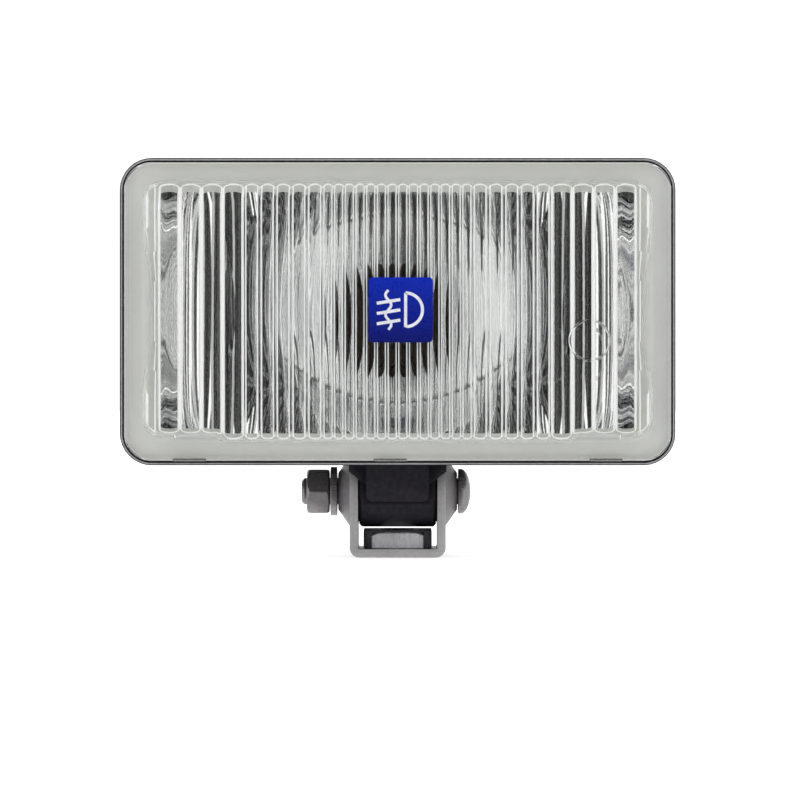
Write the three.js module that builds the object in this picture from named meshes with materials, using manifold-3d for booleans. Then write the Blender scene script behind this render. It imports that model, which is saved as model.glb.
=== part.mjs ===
// A rectangular halogen fog light on a U bracket, in millimetres, +Z up, its lens facing -Y.
// The origin is the centre of the bolt hole on the underside of the bracket, where the light is
// bolted to a vehicle. The bracket clamps a barrel under the housing, and the head tilts on the
// pivot bolt. The lens, reflector and bulb make one optic unit, which pulls forward out of the
// housing, and a wire clip on its back holds the bulb.
import * as THREE from "three";
import { mergeVertices } from "three/addons/utils/BufferGeometryUtils.js";
import Module from "manifold-3d";

const wasm = await Module();
wasm.setup();

// ---------------------------------------------------------------- driving dimensions
const GAP = 0.3; // between faces that rest on each other
const SIDE_GAP = 0.2; // between parallel walls that slide or nest
const RUNNING_GAP = 0.4; // radial, around the pivot bolt in the lug
const OVER = 1; // how far a cutting solid runs past what it cuts
const BITE = 0.5; // how far a joined part reaches into its neighbour
const SEAM = 0.01; // overlap of two solids that are joined flush
const ROUND = 4; // curve segments in a rounded outline
const SIDES = 32; // sides of a turned piece
const FINE_SIDES = 40; // sides of the dish
const SMALL_SIDES = 12; // sides of a rivet or a wire's hole

const HEAD = { width: 163, height: 90.2, corner: 9.4, depth: 62 };
const PIVOT_HEIGHT = 19.5; // pivot axis above the mounting face
const RIM_ABOVE_PIVOT = 8.3; // lower edge of the rim above the pivot axis

const HOUSING = {
  wall: 2.2,
  lip: 1, // wall around the lens
  lipFront: 5.2, // lip's front edge behind the badge's face
  ledgeFront: 10.7, // the ledge that the gasket seats on
  rimLength: 9.3, // length of the rim band
  rimStepX: 3, // the body is narrower than the rim by this, each side
  rimStepZ: 4.1,
  roundStart: 33, // where the back starts to round off
  roundX: 17,
  roundZ: 13,
  frontToBack: 59.5,
};
const LENS = {
  edgeGap: 1, // between the lip and the glass
  edgeFront: 3.6, // front of the straight edge, behind the badge's face
  edgeRear: 4.6, // the front edge overhangs the gasket down to here
  overhang: 0.6,
  rear: 7,
  faceSetBack: 0.9,
  border: 9, // width of the rounded border
  plateRear: 3.4,
  pocketMargin: 5.2,
  pocketCorner: 5.4,
};
// Vertical flutes on the back of the glass: how many of each relative width, from end to end.
const FLUTES = {
  deep: 0.7,
  bead: 0.32, // a flute's flat edges, as a share of its width
  zones: [[4, 6.24], [5, 4.6], [14, 3.12], [5, 4.6], [4, 6.24]],
  endMargin: 3.5, // plain glass between the last flute and the panel's end
};
const BADGE = { width: 18.7, height: 19, corner: 1.6, thick: 0.7, right: 0.9, up: 0.4 };
const REFLECTOR = {
  focus: 23,
  vertex: 46.5, // behind the badge's face
  wall: 1.2,
  flangeX: 6.2, // the glass overlaps the opening by this at each end
  flangeZ: 6.1,
  openingCorner: 4,
  shelf: 10.5, // depth of the flat shelf around the dish
  flangeMargin: 0.2, // flange edge inside the glass edge
  bulbHole: 13.5,
  scoop: { margin: 0.2, width: 20, height: 52, depth: 11 }, // a rounded hollow at each end
};
const GASKET = { lip: 0.6, seat: 1.5, seatWidth: 5.2, leastCorner: 1, web: 0.5 };
const LENS_CLIP = {
  width: 9.3,
  sheet: 0.5,
  hook: 1.6,
  noseDepth: 1.6,
  standOff: 0.25,
  fromEnd: 18.5, // the outer clips' distance from the glass ends
  middle: -2.2,
};
const HOLDER = {
  sheet: 1.2,
  cupRadius: 12.9,
  flangeRadius: 17.5,
  crownFront: 40,
  flangeFront: 46.4,
  glassHole: 7.5,
};
const HINGE_EAR = { below: 2.2, above: 1.6, behind: 2 }; // how far it reaches from the clip's axis
const CATCH = { half: 3, lip: 1 };
const HOLDER_RIVET = { radius: 1.2, headRadius: 2, headHeight: 0.8, reach: 3, x: 13.8, z: 6.4 };
const RIVET_BOSS = { radius: 2.9, depth: 4 };
const GROUND_TAB = { sheet: 0.8, foot: 5.2, blade: 6.3, bladeStart: 21, length: 20 };
const BULB = {
  glassRadius: 5.6,
  glassWall: 0.8,
  rootInside: 2, // length of the envelope behind the seat's plane
  filament: 18,
  coilRadius: 0.55,
  coilHalf: 2.75,
  legRadius: 0.35,
  legX: 2.4,
  tip: 30,
  flangeRadius: 10.8,
  flange: 1.4,
  collarWall: 0.25, // between the envelope and the base's collar
  collarRadius: 7,
  collarLength: 6,
  capRadius: 6,
  capRear: 4.1,
  plugRadius: 4.4,
  plugLength: 2.8,
};
const BULB_LEAD = { radius: 1.1, rise: 22.5, end: -22 };
const TERMINAL = { crimp: [5, 3.2, 3.2], blade: [7, 0.8, 4.4] }; // length, thickness, height
const BULB_CLIP = {
  wire: 0.7,
  hingeRise: 15,
  hingeRear: 0.9,
  pivotHalf: 9.6,
  proud: 0.3,
  bend: 1.4,
  straight: 5.4, // length of the straight parts next to the hinge and the loop
  pressHalf: 3.4, // half the length that presses on the bulb
  ramp: 2.2,
  loopDrop: 1,
};
const GROMMET = { x: 30, z: -14, bore: 3.6, neck: 6.4, flange: 8, flangeThick: 2.2, bead: 7.6, beadThick: 2 };

const BRACKET = {
  outside: 28.7,
  sheet: 2.5,
  bend: 3,
  width: 22,
  coneBase: 10.6,
  coneTop: 5.6,
  coneHeight: 3.55,
};
const MOUNT_HOLE = 5.25; // radius of the hole in the foot, for an M10 bolt
const MOUNT_NUT = { across: 16, thick: 4.5, bore: 5, corner: 11.1, crown: 9.6, chamfer: 1 };
const RETAINER = { side: 2, lip: 0.6, roof: 0.7, catch: 0.2 }; // its walls, and its hold on the nut's face
const BOLT = {
  radius: 4,
  headRadius: 6.8,
  headHeight: 3.8,
  headEdge: 0.9, // the straight edge under the dome
  squareTrim: 0.2, // the square neck is this much narrower than the shank
  squareLength: 2.2,
  proud: 1.6,
  tailChamfer: 0.8,
};
const WASHER = { radius: 7.4, thick: 2 };
const NUT = { across: 13, thick: 6.8, faceShare: 0.95, chamferSlope: 0.7 };
const LUG = {
  radius: 10.7,
  chamfer: 0.8,
  neckHalf: 9.3,
  neckFront: 17.5,
  neckRear: 9,
  blockDrop: 2.6,
  corner: 2,
};
const SLEEVE_WALL = 0.8; // the steel sleeve in the lug
const GUSSET = { low: 2.3, highHalf: 14.5, rise: 4, front: 16, back: 12.6 };

// ---------------------------------------------------------------- places worked out from them
const FRONT = -HEAD.depth / 2; // the badge's face
const HEAD_Z = PIVOT_HEIGHT + RIM_ABOVE_PIVOT + HEAD.height / 2;
const PIVOT_Z = PIVOT_HEIGHT - HEAD_Z; // in the head's own frame
const back = (distance) => FRONT + distance; // a distance behind the badge's face, as a Y

const LENS_WIDTH = HEAD.width - 2 * (HOUSING.lip + LENS.edgeGap);
const LENS_HEIGHT = HEAD.height - 2 * (HOUSING.lip + LENS.edgeGap);
const LENS_CORNER = HEAD.corner - HOUSING.lip - LENS.edgeGap;
const OPENING_WIDTH = LENS_WIDTH - 2 * REFLECTOR.flangeX;
const OPENING_HEIGHT = LENS_HEIGHT - 2 * REFLECTOR.flangeZ;
const SQUARE_HALF = BOLT.radius - BOLT.squareTrim / 2;
const LENS_FACE = back(LENS.faceSetBack);
const LENS_REAR = back(LENS.rear);
const FLANGE_FRONT = LENS_REAR + GAP;
const FLANGE_REAR = FLANGE_FRONT + REFLECTOR.wall;
const BODY_WIDTH = HEAD.width - 2 * HOUSING.rimStepX;
const BODY_HEIGHT = HEAD.height - 2 * HOUSING.rimStepZ;
const BODY_REAR = back(HOUSING.frontToBack);
const RIM_REAR = back(HOUSING.lipFront + HOUSING.rimLength);
const CROWN_REAR = back(HOLDER.crownFront) + HOLDER.sheet; // the face that the bulb's flange seats on
const BULB_SEAT = CROWN_REAR + SIDE_GAP;
const BRACKET_INSIDE = BRACKET.outside / 2 - BRACKET.sheet;
const CONE_TOP_X = BRACKET.outside / 2 + BRACKET.coneHeight;
const SLEEVE_RADIUS = BOLT.radius + RUNNING_GAP + SLEEVE_WALL;
const HOLLOW = { base: BRACKET.coneBase - 1, top: BRACKET.coneTop + 0.6, end: CONE_TOP_X - BRACKET.sheet };

// ---------------------------------------------------------------- shapes and solids
/** A rounded rectangle centred on the origin, with arcs at its corners. */
function roundedRectangle(width, height, radius) {
  const shape = new THREE.Shape();
  const x = width / 2 - radius;
  const y = height / 2 - radius;
  shape.absarc(x, y, radius, 0, Math.PI / 2);
  shape.absarc(-x, y, radius, Math.PI / 2, Math.PI);
  shape.absarc(-x, -y, radius, Math.PI, 1.5 * Math.PI);
  shape.absarc(x, -y, radius, 1.5 * Math.PI, 2 * Math.PI);
  shape.closePath();
  return shape;
}

/** A shape drawn in X and Z, as a slab from rear to front along Y. */
function slab(shape, rear, front, steps = 1) {
  const geometry = new THREE.ExtrudeGeometry(shape, {
    depth: rear - front,
    steps,
    bevelEnabled: false,
    curveSegments: ROUND,
  });
  return geometry.rotateX(Math.PI / 2).translate(0, rear, 0);
}

/** Narrows a slab by inset(y) on every side, keeping its outline's proportions. */
function narrowed(geometry, width, height, inset) {
  const at = geometry.getAttribute("position");
  for (let i = 0; i < at.count; i++) {
    const d = inset(at.getY(i));
    at.setX(i, at.getX(i) * (1 - (2 * d) / width));
    at.setZ(i, at.getZ(i) * (1 - (2 * d) / height));
  }
  return geometry;
}

/** A solid from a closed geometry. */
function solid(geometry) {
  const open = geometry.clone();
  open.deleteAttribute("normal");
  open.deleteAttribute("uv");
  const merged = mergeVertices(open, 1e-4);
  return new wasm.Manifold(
    new wasm.Mesh({
      numProp: 3,
      vertProperties: new Float32Array(merged.getAttribute("position").array),
      triVerts: new Uint32Array(merged.index.array),
    }),
  );
}

/** The geometry of a solid. */
function geometryOf(body) {
  const mesh = body.getMesh();
  const at = new Float32Array(mesh.numVert * 3);
  for (let i = 0; i < mesh.numVert; i++) {
    at.set(mesh.vertProperties.subarray(i * mesh.numProp, i * mesh.numProp + 3), i * 3);
  }
  const geometry = new THREE.BufferGeometry();
  geometry.setAttribute("position", new THREE.BufferAttribute(at, 3));
  geometry.setIndex(new THREE.BufferAttribute(new Uint32Array(mesh.triVerts), 1));
  return geometry;
}

const joined = (bodies) => bodies.reduce((a, b) => a.add(b));
const cut = (body, tools) => tools.reduce((a, b) => a.subtract(b), body);

/** A block between two corners. */
function block([x0, y0, z0], [x1, y1, z1]) {
  const box = new THREE.BoxGeometry(x1 - x0, y1 - y0, z1 - z0);
  return solid(box.translate((x0 + x1) / 2, (y0 + y1) / 2, (z0 + z1) / 2));
}

/** A turned piece about the Y axis, from [radius, y] pairs that run towards +Y. */
function turned(profile, sides = SIDES) {
  return new THREE.LatheGeometry(profile.map(([r, y]) => new THREE.Vector2(r, y)), sides);
}

/** The same about the X axis at a height z, from [radius, x] pairs that run towards +X. */
function turnedAcross(profile, z, sides = SIDES) {
  return solid(turned(profile, sides).rotateZ(-Math.PI / 2).translate(0, 0, z));
}

/** A plain rod along Y. */
function rod(radius, rear, front, x = 0, z = 0, sides = SIDES) {
  const profile = [[0, front], [radius, front], [radius, rear], [0, rear]];
  return solid(turned(profile, sides).translate(x, 0, z));
}

/** A plain rod along Z. */
function post(radius, low, high, sides = SIDES) {
  const cylinder = new THREE.CylinderGeometry(radius, radius, high - low, sides);
  return solid(cylinder.rotateX(Math.PI / 2).translate(0, 0, (low + high) / 2));
}

/** A turned piece about the Z axis, from [radius, z] pairs that run upwards. */
function turnedUp(profile) {
  return solid(turned(profile.map(([r, z]) => [r, -z]).reverse()).rotateX(-Math.PI / 2));
}

/** A plain rod along X at a height z. */
function bar(radius, left, right, z) {
  return turnedAcross([[0, left], [radius, left], [radius, right], [0, right]], z);
}

/** A wire of round section through a list of points. */
function wire(points, radius, sides, steps) {
  const section = new THREE.Shape().absarc(0, 0, radius, 0, 2 * Math.PI);
  const path = new THREE.CatmullRomCurve3(points.map((p) => new THREE.Vector3(...p)), false, "centripetal");
  const options = { extrudePath: path, steps, bevelEnabled: false, curveSegments: sides };
  return new THREE.ExtrudeGeometry(section, options);
}

// ---------------------------------------------------------------- colours and nodes
const finish = (color, roughness, metalness) =>
  new THREE.MeshStandardMaterial({ color, roughness, metalness });
const STEEL = finish(0x9a9794, 0.45, 0.9);
const SPRING_STEEL = finish(0x8d8f92, 0.3, 1);
const ZINC = finish(0xb9bcc0, 0.3, 1);
const BLACK_PLASTIC = finish(0x1c1b1f, 0.5, 0);
const RUBBER = finish(0x101012, 0.8, 0);
const GLASS = new THREE.MeshStandardMaterial({
  color: 0xdfe6df,
  roughness: 0.05,
  metalness: 0,
  transparent: true,
  opacity: 0.35,
});
const MIRROR = finish(0xe6e8ea, 0.05, 1);
const BLUE = finish(0x1226a0, 0.25, 0);
const CERAMIC = finish(0xd9d5c8, 0.6, 0);
const TUNGSTEN = finish(0x5a5852, 0.5, 1);
const BRASS = finish(0xb79a4c, 0.3, 1);
const LEAD_SLEEVE = finish(0x2a2522, 0.6, 0);

const light = new THREE.Group();
const bracketGroup = new THREE.Group();
const head = new THREE.Group();
head.position.set(0, 0, HEAD_Z);
light.add(bracketGroup, head);

/** Adds one named piece to a group. */
function piece(group, name, body, material) {
  const geometry = body.isBufferGeometry ? body : geometryOf(body);
  const mesh = new THREE.Mesh(geometry, material);
  mesh.name = name;
  group.add(mesh);
}

// ---------------------------------------------------------------- bracket and its hardware
/** A cone about the pivot axis that narrows outwards from base to top: side is -1 or 1. */
function earCone(side, base, top, root, start, end) {
  const outwards = [[0, root], [base, root], [base, start], [top, end], [0, end]];
  const profile = side > 0 ? outwards : outwards.map(([r, x]) => [r, -x]).reverse();
  return turnedAcross(profile, PIVOT_HEIGHT);
}

/** The bent strap: a U with rounded ears, a cone in each ear and its three holes. */
function strap() {
  const half = BRACKET.outside / 2;
  const inner = BRACKET.bend - BRACKET.sheet;
  const earTop = PIVOT_HEIGHT + BRACKET.width / 2;
  const u = new THREE.Shape();
  u.moveTo(-half, earTop);
  u.lineTo(-half, BRACKET.bend);
  u.absarc(-half + BRACKET.bend, BRACKET.bend, BRACKET.bend, Math.PI, 1.5 * Math.PI);
  u.absarc(half - BRACKET.bend, BRACKET.bend, BRACKET.bend, 1.5 * Math.PI, 2 * Math.PI);
  u.lineTo(half, earTop);
  u.lineTo(BRACKET_INSIDE, earTop);
  u.absarc(BRACKET_INSIDE - inner, BRACKET.sheet + inner, inner, 0, -0.5 * Math.PI, true);
  u.absarc(-BRACKET_INSIDE + inner, BRACKET.sheet + inner, inner, 1.5 * Math.PI, Math.PI, true);
  u.lineTo(-BRACKET_INSIDE, earTop);
  const reach = CONE_TOP_X + OVER;
  const wide = BRACKET.width / 2;
  const outline = block([-reach, -wide, -OVER], [reach, wide, PIVOT_HEIGHT]).add(
    bar(wide, -reach, reach, PIVOT_HEIGHT),
  );
  const strip = solid(slab(u, wide, -wide)).intersect(outline);
  const cones = [-1, 1].map((side) =>
    earCone(side, BRACKET.coneBase, BRACKET.coneTop, half - BITE, half, CONE_TOP_X),
  );
  const hollows = [-1, 1].map((side) =>
    earCone(side, HOLLOW.base, HOLLOW.top, BRACKET_INSIDE - OVER, BRACKET_INSIDE, HOLLOW.end),
  );
  const boltHole = bar(BOLT.radius + GAP, -reach, 0, PIVOT_HEIGHT);
  const square = SQUARE_HALF + GAP;
  const neckHole = block([0, -square, PIVOT_HEIGHT - square], [reach, square, PIVOT_HEIGHT + square]);
  const footHole = post(MOUNT_HOLE, -OVER, BRACKET.sheet + OVER);
  return cut(joined([strip, ...cones]), [...hollows, boltHole, neckHole, footHole]);
}

/** A hexagon along X from left to right, with both faces chamfered. */
function hexagon(across, left, right, z) {
  const corner = across / Math.sqrt(3);
  const prism = solid(
    new THREE.CylinderGeometry(corner, corner, right - left, 6)
      .rotateY(Math.PI / 6)
      .rotateZ(Math.PI / 2)
      .translate((left + right) / 2, 0, z),
  );
  const face = NUT.faceShare * (across / 2);
  const run = (corner - face) * NUT.chamferSlope;
  const chamfered = turnedAcross(
    [[0, left], [face, left], [corner, left + run], [corner, right - run], [face, right], [0, right]],
    z,
  );
  return prism.intersect(chamfered);
}

function addBracket() {
  piece(bracketGroup, "bracket", strap(), STEEL);

  const washerRight = -CONE_TOP_X - GAP;
  const washerLeft = washerRight - WASHER.thick;
  const ring = bar(WASHER.radius, washerLeft, washerRight, PIVOT_HEIGHT);
  const shank = BOLT.radius + GAP;
  piece(bracketGroup, "pivot_washer", ring.subtract(bar(shank, washerLeft - OVER, 0, PIVOT_HEIGHT)), ZINC);

  const nutRight = washerLeft - GAP;
  const nutLeft = nutRight - NUT.thick;
  const nut = hexagon(NUT.across, nutLeft, nutRight, PIVOT_HEIGHT);
  piece(bracketGroup, "pivot_nut", nut.subtract(bar(shank, nutLeft - OVER, 0, PIVOT_HEIGHT)), ZINC);

  // A low domed head and a square neck on the right, the threaded end on the left.
  const tail = nutLeft - BOLT.proud;
  const under = CONE_TOP_X + GAP;
  const dome = [1, 0.96, 0.82, 0.6, 0.32, 0].map((share) => [
    BOLT.headRadius * share,
    under + BOLT.headEdge + (BOLT.headHeight - BOLT.headEdge) * Math.sqrt(1 - share * share),
  ]);
  const thread = [
    [0, tail],
    [BOLT.radius - BOLT.tailChamfer, tail],
    [BOLT.radius, tail + BOLT.tailChamfer],
    [BOLT.radius, under],
  ];
  const bolt = turnedAcross([...thread, [BOLT.headRadius, under], ...dome], PIVOT_HEIGHT);
  const neck = block(
    [under - BOLT.squareLength, -SQUARE_HALF, PIVOT_HEIGHT - SQUARE_HALF],
    [under + BITE, SQUARE_HALF, PIVOT_HEIGHT + SQUARE_HALF],
  );
  piece(bracketGroup, "pivot_bolt", bolt.add(neck), ZINC);

  const nutLow = BRACKET.sheet + SIDE_GAP;
  const nutHigh = nutLow + MOUNT_NUT.thick;
  const flat = MOUNT_NUT.across / 2;
  const envelope = turnedUp([
    [0, nutLow],
    [MOUNT_NUT.corner, nutLow],
    [MOUNT_NUT.corner, nutHigh - MOUNT_NUT.chamfer],
    [MOUNT_NUT.crown, nutHigh],
    [0, nutHigh],
  ]);
  const mountNut = block([-flat, -flat, nutLow], [flat, flat, nutHigh]).intersect(envelope);
  piece(bracketGroup, "mount_nut", mountNut.subtract(post(MOUNT_NUT.bore, 0, nutHigh + OVER)), ZINC);

  // A plastic cap over the square nut, open at the foot and almost across its front and back.
  const roof = nutHigh + SIDE_GAP;
  const cavity = flat + SIDE_GAP;
  const wide = cavity + RETAINER.side;
  const deep = cavity + RETAINER.lip;
  const window = flat - RETAINER.catch;
  // Its lower edges are stepped to clear the bends.
  const step = BRACKET.bend - BRACKET.sheet;
  const steps = [-1, 1].map((side) => {
    const xs = [side * (wide - step), side * (wide + OVER)].sort((a, b) => a - b);
    return block([xs[0], -deep - OVER, 0], [xs[1], deep + OVER, BRACKET.sheet + step]);
  });
  const cap = cut(block([-wide, -deep, nutLow], [wide, deep, roof + RETAINER.roof]), [
    ...steps,
    block([-cavity, -cavity, 0], [cavity, cavity, roof]),
    block([-window, -deep - OVER, 0], [window, deep + OVER, roof]),
    post(MOUNT_NUT.bore + GAP, 0, roof + RETAINER.roof + OVER),
  ]);
  piece(bracketGroup, "nut_retainer", cap, BLACK_PLASTIC);
}

// ---------------------------------------------------------------- housing
/** The rounded body behind the rim, grown or shrunk by a margin. */
function body(margin, front) {
  const width = BODY_WIDTH + 2 * margin;
  const height = BODY_HEIGHT + 2 * margin;
  const rear = BODY_REAR + margin;
  const start = back(HOUSING.roundStart);
  const corner = HEAD.corner - HOUSING.rimStepX + margin;
  const rings = 9;
  const geometry = slab(roundedRectangle(width, height, corner), rear, front, rings);
  const at = geometry.getAttribute("position");
  for (let i = 0; i < at.count; i++) {
    // One ring at the front, and the others spread round a quarter of an ellipse.
    const ring = Math.round((rings * (at.getY(i) - front)) / (rear - front));
    const turn = (Math.max(0, ring - 1) / (rings - 1)) * (Math.PI / 2);
    const r = 1 - Math.cos(turn);
    if (ring > 0) at.setY(i, start + (rear - start) * Math.sin(turn));
    at.setX(i, at.getX(i) * (1 - (2 * HOUSING.roundX * r) / width));
    at.setZ(i, at.getZ(i) * (1 - (2 * HOUSING.roundZ * r) / height));
  }
  return solid(geometry);
}

/** The barrel, its conical ends, the neck and the gussets, with the hole for the sleeve. */
function lug() {
  const end = BRACKET_INSIDE - GAP;
  const tip = HOLLOW.end - GAP;
  const bore = SLEEVE_RADIUS + SIDE_GAP;
  const cone = [[HOLLOW.top - GAP, tip], [HOLLOW.base - GAP, end]];
  const side = [...cone, [LUG.radius - LUG.chamfer, end], [LUG.radius, end - LUG.chamfer]];
  const profile = [[0, -tip], ...side.map(([r, x]) => [r, -x]), ...side.reverse(), [0, tip]];
  const barrel = turnedAcross(profile, PIVOT_Z);
  const top = -BODY_HEIGHT / 2 + HOUSING.wall / 2;
  const neckLow = PIVOT_Z - LUG.blockDrop;
  const neckShape = roundedRectangle(2 * LUG.neckHalf, top - neckLow, LUG.corner);
  const neck = solid(slab(neckShape, 0, -LUG.neckFront).translate(0, 0, (top + neckLow) / 2)).add(
    block([-LUG.neckHalf, -BITE, PIVOT_Z], [LUG.neckHalf, LUG.neckRear, top]),
  );
  const plate = new THREE.Shape();
  plate.moveTo(-LUG.neckHalf, PIVOT_Z + GUSSET.low);
  plate.lineTo(LUG.neckHalf, PIVOT_Z + GUSSET.low);
  plate.lineTo(GUSSET.highHalf, PIVOT_Z + GUSSET.low + GUSSET.rise);
  plate.lineTo(GUSSET.highHalf, top);
  plate.lineTo(-GUSSET.highHalf, top);
  plate.lineTo(-GUSSET.highHalf, PIVOT_Z + GUSSET.low + GUSSET.rise);
  const gusset = solid(slab(plate, -GUSSET.back, -GUSSET.front));
  return { lug: joined([barrel, neck, gusset]), bore: bar(bore, -tip - OVER, tip + OVER, PIVOT_Z) };
}

function addHousing() {
  const lipFront = back(HOUSING.lipFront);
  const ledge = back(HOUSING.ledgeFront);
  const rim = solid(slab(roundedRectangle(HEAD.width, HEAD.height, HEAD.corner), RIM_REAR, lipFront));
  const seat = roundedRectangle(
    HEAD.width - 2 * HOUSING.lip,
    HEAD.height - 2 * HOUSING.lip,
    HEAD.corner - HOUSING.lip,
  );
  const seatHollow = solid(slab(seat, ledge, lipFront - OVER));
  const { lug: foot, bore } = lug();
  const outside = joined([rim, body(0, RIM_REAR - OVER), foot]);
  const holeFront = BODY_REAR - 2 * HOUSING.wall;
  const grommetHole = rod(GROMMET.neck + GAP, BODY_REAR + OVER, holeFront, GROMMET.x, GROMMET.z);
  const shell = cut(outside, [seatHollow, body(-HOUSING.wall, ledge - OVER), bore, grommetHole]);
  piece(head, "housing", shell, BLACK_PLASTIC);

  const reach = HOLLOW.end - GAP;
  const sleeve = bar(SLEEVE_RADIUS, -reach, reach, PIVOT_Z).subtract(
    bar(SLEEVE_RADIUS - SLEEVE_WALL, -reach - OVER, reach + OVER, PIVOT_Z),
  );
  piece(head, "pivot_sleeve", sleeve, STEEL);

  const outer = BODY_REAR + GAP;
  const inner = BODY_REAR - HOUSING.wall - GAP;
  const flangeEnd = outer + GROMMET.flangeThick;
  const beadFront = inner - GROMMET.beadThick;
  const grommet = solid(
    turned([
      [GROMMET.bore, beadFront],
      [GROMMET.bead, beadFront],
      [GROMMET.bead, inner],
      [GROMMET.neck, inner],
      [GROMMET.neck, outer],
      [GROMMET.flange, outer],
      [GROMMET.flange - BITE, flangeEnd],
      [GROMMET.bore, flangeEnd],
      [GROMMET.bore, beadFront],
    ]).translate(GROMMET.x, 0, GROMMET.z),
  );
  piece(head, "cable_grommet", grommet, RUBBER);
}

// ---------------------------------------------------------------- optic unit
/** The places of the rivets that hold the bulb holder: x and z from the optic axis. */
const rivetPlaces = [-1, 1].flatMap((x) => [-1, 1].map((z) => [x * HOLDER_RIVET.x, z * HOLDER_RIVET.z]));

/** The middles of the lens clips, along X. */
const clipPlaces = [LENS_CLIP.fromEnd - LENS_WIDTH / 2, LENS_CLIP.middle, LENS_WIDTH / 2 - LENS_CLIP.fromEnd];

/** A block at the lower edge of the lens at x, from inner to outer distances below the glass edge. */
function edgeBlock(x, halfWidth, inner, outer, front, rear) {
  const edge = -LENS_HEIGHT / 2;
  return block([x - halfWidth, front, edge - outer], [x + halfWidth, rear, edge - inner]);
}

/** The flutes' section, seen from above, as one solid the height of the fluted panel. */
function flutes() {
  const total = FLUTES.zones.reduce((sum, [count, share]) => sum + count * share, 0);
  const stretch = (OPENING_WIDTH - 2 * FLUTES.endMargin) / total;
  const root = back(LENS.plateRear);
  const section = new THREE.Shape();
  let x = (-total / 2) * stretch;
  section.moveTo(x, root - BITE);
  for (const [count, relative] of FLUTES.zones) {
    const width = relative * stretch;
    for (let i = 0; i < count; i++) {
      for (const share of [0, FLUTES.bead / 2, 1 / 3, 2 / 3, 1 - FLUTES.bead / 2]) {
        section.lineTo(x + share * width, root + FLUTES.deep * Math.sin(Math.PI * share));
      }
      x += width;
    }
  }
  section.lineTo(x, root);
  section.lineTo(x, root - BITE);
  const geometry = new THREE.ExtrudeGeometry(section, { depth: OPENING_HEIGHT, bevelEnabled: false });
  return solid(geometry.translate(0, 0, -OPENING_HEIGHT / 2));
}

/** The glass: a flat face with a rounded border, a pocket behind it, and the flutes in the pocket. */
function lens() {
  const edgeFront = back(LENS.edgeFront);
  const dome = (y) => {
    const share = Math.min(1, Math.max(0, (edgeFront - y) / (edgeFront - LENS_FACE)));
    return LENS.border * (1 - Math.sqrt(1 - share * share));
  };
  const width = LENS_WIDTH + 2 * LENS.overhang;
  const height = LENS_HEIGHT + 2 * LENS.overhang;
  const outline = roundedRectangle(width, height, LENS_CORNER + LENS.overhang);
  const edge = solid(slab(roundedRectangle(LENS_WIDTH, LENS_HEIGHT, LENS_CORNER), LENS_REAR, edgeFront)).add(
    solid(slab(outline, back(LENS.edgeRear), edgeFront)),
  );
  const rings = 6;
  const cap = solid(narrowed(slab(outline, edgeFront + SEAM, LENS_FACE, rings), width, height, dome));
  const pocket = roundedRectangle(
    LENS_WIDTH - 2 * LENS.pocketMargin,
    LENS_HEIGHT - 2 * LENS.pocketMargin,
    LENS.pocketCorner,
  );
  const hollow = solid(slab(pocket, LENS_REAR + OVER, back(LENS.plateRear)));
  // A slot under the glass edge takes each clip's nose.
  const slotRear = edgeFront + LENS_CLIP.noseDepth;
  const slotFront = slotRear - LENS_CLIP.sheet - 2 * GAP;
  const slots = clipPlaces.map((place) =>
    edgeBlock(place, LENS_CLIP.width / 2 + GAP, -LENS_CLIP.hook, LENS.edgeGap, slotFront, slotRear),
  );
  return cut(joined([edge, cap]), [hollow, ...slots]).add(flutes());
}

/** The dish's paraboloid, offset outwards by a wall, as a solid up to a front plane. */
function paraboloid(wall, front) {
  const vertex = back(REFLECTOR.vertex);
  const reach = Math.sqrt(4 * REFLECTOR.focus * (vertex - front)) + 2 * OVER;
  const profile = [];
  const rings = 9;
  for (let i = rings; i >= 0; i--) {
    const s = (reach * i) / rings;
    const slope = s / (2 * REFLECTOR.focus);
    const length = Math.hypot(1, slope);
    profile.push([s + (wall * slope) / length, vertex - (s * s) / (4 * REFLECTOR.focus) + wall / length]);
  }
  profile.unshift([0, profile[0][1]]);
  return solid(turned(profile, FINE_SIDES));
}

/** The space in front of the reflector, or its outside when wall isn't 0. */
function dish(wall) {
  const front = FLANGE_FRONT;
  const shelf = back(REFLECTOR.shelf) + wall;
  const wide = OPENING_WIDTH / 2 + wall;
  const high = OPENING_HEIGHT / 2 + wall;
  const rear = back(REFLECTOR.vertex) + wall + OVER;
  const { scoop } = REFLECTOR;
  const scoopX = OPENING_WIDTH / 2 - scoop.margin - scoop.width;
  const scoops = [-1, 1].map((side) =>
    solid(
      new THREE.SphereGeometry(1, FINE_SIDES / 2, SMALL_SIDES)
        .scale(scoop.width + wall, scoop.depth + wall, scoop.height + wall)
        .translate(side * scoopX, back(REFLECTOR.shelf), 0),
    ),
  );
  const bowl = joined([paraboloid(wall, front), ...scoops]).intersect(
    block([-wide, front, -high], [wide, rear, high]),
  );
  const tray = roundedRectangle(2 * wide, 2 * high, REFLECTOR.openingCorner + wall);
  return bowl.add(solid(slab(tray, shelf, front)));
}

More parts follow.
